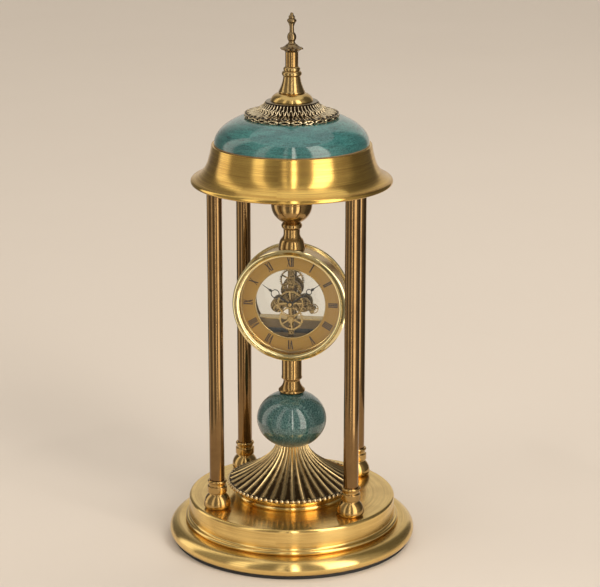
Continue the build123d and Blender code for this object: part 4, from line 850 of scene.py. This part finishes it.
# Each letter's advance and its shapes.
LETTERS = {
    "I": (1.42, [stroke(0.0, 0.0, THICK), serif(0.0, 1.36, HEAD), serif(0.0, 1.36)]),
    "V": (3.1, [stroke(0.0, -1.05, THICK), stroke(0.0, 1.1, THIN), serif(-1.05, 1.4, HEAD), serif(1.1, 1.0, HEAD)]),
    "X": (3.2, [stroke(1.1, -1.1, THICK), stroke(-1.1, 1.1, THIN), serif(-1.1, 1.3, HEAD), serif(1.1, 1.1, HEAD),
                serif(-1.1, 1.1), serif(1.1, 1.3)]),
}


def numerals():
    """Printed Roman hours, each with its foot towards the centre."""
    mesh_bm = bmesh.new()
    for hour, text in enumerate(NUMERALS):
        turn = math.radians(-30 * hour)
        cursor = -sum(LETTERS[letter][0] for letter in text) / 2
        for letter in text:
            advance, shapes = LETTERS[letter]
            for index, shape in enumerate(shapes):
                placed = []
                for x, up in shape:
                    across, out = cursor + advance / 2 + x, NUMERAL_FOOT + up
                    placed.append((across * math.cos(turn) - out * math.sin(turn),
                                   across * math.sin(turn) + out * math.cos(turn)))
                # Crossing strokes differ a little in thickness, so that no two faces share a plane.
                lift = PRINT_THICKNESS + 0.01 * index
                prism(mesh_bm, placed, DIAL_FRONT - lift, DIAL_FRONT + PRINT_SINK)
            cursor += advance
    return finish_mesh("hour_numerals", mesh_bm, PRINT, "insert")


numerals()


# Canopy, dome and crown

CANOPY_EDGE_RADIUS = 84.6
CANOPY_LEDGE_RADIUS = 81.08
CANOPY_KNEE_RADIUS = 71.0
CANOPY_KNEE_Z = CANOPY_TOP - 14.6
CANOPY_TOP_RADIUS = 67.7
CANOPY_OPENING = 63.5
CANOPY_WALL = 1.6
lathe("canopy_spinning", profile(
    (CANOPY_LEDGE_RADIUS, CEILING_Z),
    (CANOPY_EDGE_RADIUS - 0.2, CANOPY_BOTTOM, -0.3),
    (CANOPY_EDGE_RADIUS, CANOPY_BOTTOM + 3.8, -1.1),
    (CANOPY_KNEE_RADIUS, CANOPY_KNEE_Z, 2.4),
    (CANOPY_TOP_RADIUS, CANOPY_TOP, 0.3),
    (CANOPY_OPENING, CANOPY_TOP),
    (CANOPY_OPENING, CANOPY_TOP - CANOPY_WALL),
    (CANOPY_TOP_RADIUS - CANOPY_WALL, CANOPY_TOP - CANOPY_WALL),
    (CANOPY_KNEE_RADIUS - CANOPY_WALL, CANOPY_KNEE_Z, -0.3),
    (CANOPY_LEDGE_RADIUS - 2.8, CEILING_Z + 4.5, -1.2),
    (CANOPY_LEDGE_RADIUS - 1.5, CEILING_Z + 2.0),
    (CANOPY_LEDGE_RADIUS, CEILING_Z + 2.0),
    corner=0.4), CANOPY_BRASS, "frame", ("canopy_shell",), count=256)

DOME_RADIUS, DOME_HEIGHT, DOME_WALL = 65.6, 29.0, 4.0
CROWN_SEAT_Z = DOME_Z + 22.0


def under_crown(radius, height):
    """Lowers the dome to the crown's flat seat, with an easy curve just outside it."""
    if radius > 45:
        return height
    return min(height, CROWN_SEAT_Z - 0.053 * max(0.0, radius - 41) ** 2)


dome_outer = [(radius, under_crown(radius, height))
              for radius, height in half_ellipse(DOME_RADIUS, DOME_HEIGHT, DOME_Z, 0, 88, 110)]
dome_inner = half_ellipse(DOME_RADIUS - DOME_WALL, DOME_HEIGHT - DOME_WALL, DOME_Z, 88, 0, 30)
lathe("glazed_dome", dome_outer + dome_inner, DOME_GLAZE, "frame", ("ceramic_dome",), count=200)

LOBES = 24
POINTS_PER_LOBE = 26
CROWN_ROWS = 74
CAP_Z = level("crown_cap", 0)
CROWN_FOOT_Z = level("crown_flange", 0) - 1.3
CROWN_SEAT_RADIUS = 16.9
COLLAR_Z = CAP_Z - 8.2
RELIEF = 0.8
RELIEF_MIDDLE = 0.7

# Bands of the crown's ornament, as lengths up its face from its edge.
EDGE_WIRE = 0.2
UPPER_WIRE = 4.3
SCROLL = 2.2
LEAF = (5.6, 21.0)
BUD = (8.0, 14.5)
ARCH = (10.0, 21.5)
RIBS = (20.0, 25.5)
COLLAR = 26.0


def wire(distance, half_thickness):
    """Height of a rounded wire, 1 along its middle and 0 beyond its sides."""
    share = abs(distance) / half_thickness
    return math.sqrt(1 - share * share) if share < 1 else 0.0


def share_of(up, band):
    """Share of the way up a band, or None outside it."""
    low, high = band
    return (up - low) / (high - low) if low < up < high else None


def filigree(across, up, half_pitch):
    """Height of the crown's ornament; across runs from -1 to 1 round one lobe."""
    side = abs(across) * half_pitch
    scroll = math.hypot(side / (half_pitch * 0.80), (up - SCROLL) / 1.35) - 1
    height = max(wire(up - EDGE_WIRE, 0.4) * 0.8, wire(up - UPPER_WIRE, 0.5), wire(scroll * 1.5, 0.45))
    share = share_of(up, LEAF)
    if share is not None:
        edge = 0.72 * half_pitch * math.sin(math.pi * share ** 0.5) ** 0.9
        height = max(height, wire((side - edge) * 0.9, 0.46))
    share = share_of(up, BUD)
    if share is not None:
        edge = 0.24 * half_pitch * math.sin(math.pi * share ** 0.6)
        height = max(height, 0.8 if side < edge else wire(side - edge, 0.35) * 0.8)
    share = share_of(up, ARCH)
    if share is not None:
        edge = 0.40 * half_pitch * math.sqrt(max(0.0, 1 - share ** 3))
        height = max(height, wire(half_pitch - side - edge, 0.36))
    if share_of(up, RIBS) is not None:
        height = max(height, wire(side, 0.5), wire(half_pitch - side, 0.5))
    return max(height, 0.55 if up > COLLAR else 0.0)


def crown_face():
    """Even steps up the crown's outer face: radius, height, outward normal and length from the edge."""
    outline = profile(
        (39.4, CROWN_FOOT_Z),
        (40.2, CROWN_FOOT_Z + 1.9, 0.2),
        (39.8, CROWN_FOOT_Z + 3.8, 0.2),
        (37.5, CROWN_FOOT_Z + 4.4, 0.3),
        (28.4, COLLAR_Z, 0.3),
        (27.0, COLLAR_Z + 2.7, -0.2),
        (22.0, CAP_Z - 0.3, 0.9),
        (17.0, CAP_Z),
        (CROWN_SEAT_RADIUS, CAP_Z - 1.8),
        corner=0.4)
    chain = [tuple(point) for point in outline][:-8]  # without the corner at the seat, where the face ends
    lengths = [0.0]
    for a, b in zip(chain, chain[1:]):
        lengths.append(lengths[-1] + math.hypot(b[0] - a[0], b[1] - a[1]))
    face = []
    for row in range(CROWN_ROWS + 1):
        target = lengths[-1] * row / CROWN_ROWS
        index = max(i for i, value in enumerate(lengths[:-1]) if value <= target + 1e-9)
        share = (target - lengths[index]) / (lengths[index + 1] - lengths[index])
        a, b = Vector(chain[index]), Vector(chain[index + 1])
        slope = (b - a).normalized()
        here = a + (b - a) * share
        face.append((here.x, here.y, (slope.y, -slope.x), target))
    return face


def crown():
    """Cast crown of wires raised over hollows with painted shade, scalloped at its edge."""
    mesh_bm = bmesh.new()
    painted_shading = mesh_bm.verts.layers.float.new("painted_shading")
    count = LOBES * POINTS_PER_LOBE
    rings = []
    for radius, height, normal, up in crown_face():
        ring = []
        half_pitch = math.pi * radius / LOBES
        for k in range(count):
            across = ((k + POINTS_PER_LOBE / 2) % POINTS_PER_LOBE) / POINTS_PER_LOBE * 2 - 1
            raised = filigree(across, up, half_pitch)
            lift = RELIEF * (raised - RELIEF_MIDDLE)
            scallop = 1.3 * across ** 4 * max(0.0, 1 - up / 6.0)
            x, y = polar(radius - scallop + normal[0] * lift, 360 * k / count)
            vert = mesh_bm.verts.new((x * MM, y * MM, (height + normal[1] * lift) * MM))
            # Painted shade: dark in the hollows between the raised wires.
            vert[painted_shading] = raised ** 1.7
            ring.append(vert)
        rings.append(ring)
    for radius, height in ((CROWN_SEAT_RADIUS, CAP_Z - 1.8), (24.0, COLLAR_Z - 0.6), (36.0, CROWN_FOOT_Z + 2.6),
                           (38.4, CROWN_FOOT_Z)):
        ring = []
        for k in range(count):
            x, y = polar(radius, 360 * k / count)
            ring.append(mesh_bm.verts.new((x * MM, y * MM, height * MM)))
        rings.append(ring)
    for a, b in zip(rings, rings[1:] + rings[:1]):
        bridge(mesh_bm, a, b)
    return finish_mesh("crown_casting", mesh_bm, FILIGREE, "frame", ("crown_flange",), 60)


crown()

lathe("crown_cap_turning", profile(
    (ROD_HOLE, CAP_Z),
    (18.0, CAP_Z),
    (12.0, FINIAL_Z, -1.2),
    (ROD_HOLE, FINIAL_Z),
    corner=0.4), CAP_BRASS, "frame", ("crown_cap",), count=120)


# Finial

BELL_RADIUS = 10.8
BELL_NECK_RADIUS = 7.3
BELL_RING_Z = FINIAL_Z + 14.2
BELL_STEP_Z = BELL_RING_Z + 4.6
SHAFT_RADIUS = 5.5
lathe("finial_bell_turning", profile(
    (ROD_HOLE, FINIAL_Z),
    (BELL_RADIUS - 0.1, FINIAL_Z),
    (BELL_RADIUS, FINIAL_Z + 2.0, -0.4),
    (BELL_NECK_RADIUS, BELL_RING_Z - 1.6, 0.5),
    (BELL_NECK_RADIUS, BELL_RING_Z - 0.6),
    (BELL_NECK_RADIUS, BELL_RING_Z),
    (BELL_NECK_RADIUS, BELL_STEP_Z - 0.4, -1.1),
    (BELL_NECK_RADIUS - 0.6, BELL_STEP_Z),
    (SHAFT_RADIUS + 0.6, SHAFT_Z - 0.4, -0.7),
    (SHAFT_RADIUS, SHAFT_Z),
    (ROD_HOLE, SHAFT_Z),
    corner=0.25), BELL_BRASS, "frame", ("finial_bell",), count=96)
lathe("finial_shaft_turning", profile(
    (ROD_HOLE, SHAFT_Z), (SHAFT_RADIUS, SHAFT_Z), (SHAFT_RADIUS, PETAL_Z), (ROD_HOLE, PETAL_Z),
    corner=0.2), SPINDLE_BRASS, "frame", ("finial_shaft",), count=72)

PETALS = 10
PETAL_RADIUS = 9.7
PETAL_ROOT = 5.5


def petal_disc():
    """Drooping collar of lobes under the spire."""
    outline = profile(
        (ROD_HOLE, 0.0), (5.9, 0.0), (PETAL_RADIUS, 2.2, 0.4), (PETAL_RADIUS, 3.2), (4.3, 6.4, 0.5), (ROD_HOLE, 6.4),
        corner=0.3)
    count = 16 * PETALS
    rings = []
    for radius, height in outline:
        reach = max(0.0, (radius - PETAL_ROOT) / (PETAL_RADIUS - PETAL_ROOT))
        ring = []
        for k in range(count):
            lobe = abs(math.cos(math.pi * PETALS * k / count)) ** 0.7
            x, y = polar(radius * (1 - 0.2 * reach * (1 - lobe)), 360 * k / count)
            ring.append(Vector((x * MM, y * MM, (PETAL_Z + height) * MM)))
        rings.append(ring)
    mesh_bm = bmesh.new()
    skin(mesh_bm, rings)
    return finish_mesh("finial_petal_disc", mesh_bm, FINIAL_BRASS, "frame", ("finial_petals",), 50)


petal_disc()

# The spire's steps are drawn for a height of 26 and stretched to the CAD's.
unit = (SPIRE_TOP - SPIRE_Z) / 26
lathe("finial_spire_turning", profile(
    (0.0, SPIRE_Z),
    (4.3, SPIRE_Z),
    (2.7, SPIRE_Z + 1.6 * unit, 0.3),
    (2.7, SPIRE_Z + 2.4 * unit),
    (2.0, SPIRE_Z + 9.8 * unit, -1.5),
    (1.9, SPIRE_Z + 14.0 * unit),
    (4.0, SPIRE_Z + 18.8 * unit, 0.4),
    (2.4, SPIRE_Z + 21.3 * unit, -0.5),
    (2.6, SPIRE_Z + 22.8 * unit, -0.2),
    (1.5, SPIRE_Z + 24.2 * unit),
    (0.4, SPIRE_TOP, -0.4),
    (0.0, SPIRE_TOP),
    corner=0.2), FINIAL_BRASS, "frame", ("finial_spire",), count=64)


# Floor

FLOOR_REACH = 40.0


def floor_paint():
    n = Nodes("floor_paint")
    tone = n.noise(n.object_place(), 3.0, 2.0)
    n.surface({"Base Color": n.mix(tone, (0.66, 0.58, 0.50), (0.68, 0.60, 0.52)), "Roughness": 0.7})
    return n.material


floor_bm = bmesh.new()
floor_bm.faces.new([floor_bm.verts.new((x * FLOOR_REACH, y * FLOOR_REACH, 0.0))
                    for x, y in ((-1, -1), (1, -1), (1, 1), (-1, 1))])
floor = put_in_scene("floor", floor_bm, floor_paint())
floor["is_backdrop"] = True


# Room that the metal reflects

# Each stop is (degrees from the front of the dial, brightness), positive to the right.
ROOM = ((-180, 0.75), (-150, 0.70), (-128, 0.20), (-104, 0.14), (-98, 1.5), (-82, 1.4), (-76, 0.34),
        (-44, 0.36), (-38, 1.5), (-28, 1.4), (-25, 0.42), (-14, 0.28), (-4, 0.28), (-1, 1.2), (2, 1.1),
        (4, 0.22), (8.5, 0.22), (9.5, 5.0), (13.5, 5.0), (14.5, 0.32), (34, 0.40), (37, 3.6), (59, 3.8),
        (63, 0.50), (84, 0.38), (96, 0.17), (138, 0.12), (158, 0.70), (180, 0.75))
PEAK = max(brightness for _, brightness in ROOM)
WALL_TONE = (1.0, 0.92, 0.80)
CEILING_TONE = (1.0, 0.96, 0.90)
ROOM_STRENGTH = 0.9
SCREEN_RADIUS = 0.34
SCREEN_HEIGHT = 0.8
SCREEN_TURN = 145
SCREEN_STEP = 5


def room_curve(tree, direction):
    """Brightness of the room, as a share of its peak, in the azimuth of a split direction."""
    forward = add_node(tree, "ShaderNodeMath", {0: direction["Y"], 1: -1.0}, operation="MULTIPLY").outputs[0]
    azimuth = add_node(tree, "ShaderNodeMath", {0: direction["X"], 1: forward}, operation="ARCTAN2").outputs[0]
    around = add_node(tree, "ShaderNodeMapRange", {"Value": azimuth, "From Min": -math.pi, "From Max": math.pi})
    curve = add_node(tree, "ShaderNodeFloatCurve", {"Value": around.outputs[0]})
    points = curve.mapping.curves[0].points
    stops = [((degrees + 180) / 360, brightness / PEAK) for degrees, brightness in ROOM]
    points[0].location, points[1].location = stops[0], stops[-1]
    for stop in stops[1:-1]:
        points.new(*stop)
    for point in points:
        point.handle_type = "VECTOR"
    curve.mapping.update()
    return curve.outputs[0]


def room_world():
    """World of pale and dark walls under a plain ceiling."""
    world = bpy.data.worlds.new("studio")
    world.use_nodes = True
    tree = world.node_tree
    place = add_node(tree, "ShaderNodeTexCoord").outputs["Generated"]
    direction = add_node(tree, "ShaderNodeSeparateXYZ", {0: place}).outputs
    walls = add_node(tree, "ShaderNodeMath", {0: room_curve(tree, direction), 1: PEAK}, operation="MULTIPLY")
    coloured = add_node(tree, "ShaderNodeVectorMath", {0: WALL_TONE, "Scale": walls.outputs[0]}, operation="SCALE")
    overhead = add_node(tree, "ShaderNodeMapRange", {"Value": direction["Z"], "From Min": 0.62, "From Max": 0.86})
    room = add_node(tree, "ShaderNodeMix",
                    {0: overhead.outputs[0], 6: coloured.outputs[0], 7: opaque(CEILING_TONE)}, data_type="RGBA")
    fill(tree, tree.nodes["Background"], {"Color": room.outputs[2], "Strength": ROOM_STRENGTH})
    bpy.context.scene.world = world


def screen_light():
    n = Nodes("room_screen_light")
    direction = n.add("ShaderNodeSeparateXYZ", {0: n.object_place()}).outputs
    strength = n.maths("MULTIPLY", room_curve(n.tree, direction), PEAK * ROOM_STRENGTH)
    n.show(n.add("ShaderNodeEmission", {"Color": opaque(WALL_TONE), "Strength": strength}))
    return n.material


def room_screen():
    """Low screen round the front and sides that carries the room down to the floor in the metal's reflections."""
    mesh_bm = bmesh.new()
    previous = None
    for degrees in range(-SCREEN_TURN, SCREEN_TURN + 1, SCREEN_STEP):
        turn = math.radians(degrees)
        x, y = SCREEN_RADIUS * math.sin(turn), -SCREEN_RADIUS * math.cos(turn)
        pair = (mesh_bm.verts.new((x, y, 0.0)), mesh_bm.verts.new((x, y, SCREEN_HEIGHT)))
        if previous:
            mesh_bm.faces.new((previous[0], pair[0], pair[1], previous[1]))
        previous = pair
    screen = put_in_scene("room_screen", mesh_bm, screen_light())
    screen.visible_camera = False
    screen.visible_diffuse = False
    screen.visible_shadow = False
    screen.visible_transmission = False
    screen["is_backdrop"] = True


room_world()
room_screen()


# Lamps and camera

LAMP_COLOUR = (1.0, 0.97, 0.92)
AIM = Vector((0, 0, 0.22))


def lamp(name, azimuth, height, distance, width, tall, watts):
    """Area lamp aimed at the clock; azimuth 0 is in front of the dial, positive to the right."""
    light = bpy.data.lights.new(name, "AREA")
    light.shape = "RECTANGLE"
    light.size, light.size_y = width, tall
    light.energy = watts
    light.color = LAMP_COLOUR
    holder = bpy.data.objects.new(name, light)
    bpy.context.scene.collection.objects.link(holder)
    turn = math.radians(azimuth)
    holder.location = (distance * math.sin(turn), -distance * math.cos(turn), height)
    holder.rotation_euler = (AIM - holder.location).to_track_quat("-Z", "Y").to_euler()
    holder.visible_glossy = False


lamp("window_lamp", 48, 1.5, 2.2, 0.9, 1.3, 26)
lamp("left_lamp", -48, 1.3, 2.4, 0.9, 1.0, 12)
lamp("top_lamp", 150, 2.2, 1.6, 1.2, 0.8, 12)

# The camera is the one fitted to the photo's ellipses; angles are in radians.
CAMERA_TURN, CAMERA_TILT = 0.154, 0.275
CAMERA_DISTANCE, CAMERA_HEIGHT = 1.6674, 0.6905
FOCAL_PIXELS, PICTURE_PIXELS = 2017.7, 600
SENSOR_WIDTH = 36.0
camera_data = bpy.data.cameras.new("camera")
camera_data.sensor_width = SENSOR_WIDTH
camera_data.lens = FOCAL_PIXELS / PICTURE_PIXELS * SENSOR_WIDTH
camera_data.shift_x = 0.0137
camera = bpy.data.objects.new("camera", camera_data)
camera.location = (CAMERA_DISTANCE * math.sin(CAMERA_TURN), -CAMERA_DISTANCE * math.cos(CAMERA_TURN), CAMERA_HEIGHT)
camera.rotation_euler = (math.pi / 2 - CAMERA_TILT, 0.0, CAMERA_TURN)
bpy.context.scene.collection.objects.link(camera)
bpy.context.scene.camera = camera
bpy.context.scene.view_settings.view_transform = "Standard"

low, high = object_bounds()
{"cad": [list(CAD_LOW), list(CAD_HIGH)], "visual": [list(low), list(high)]}
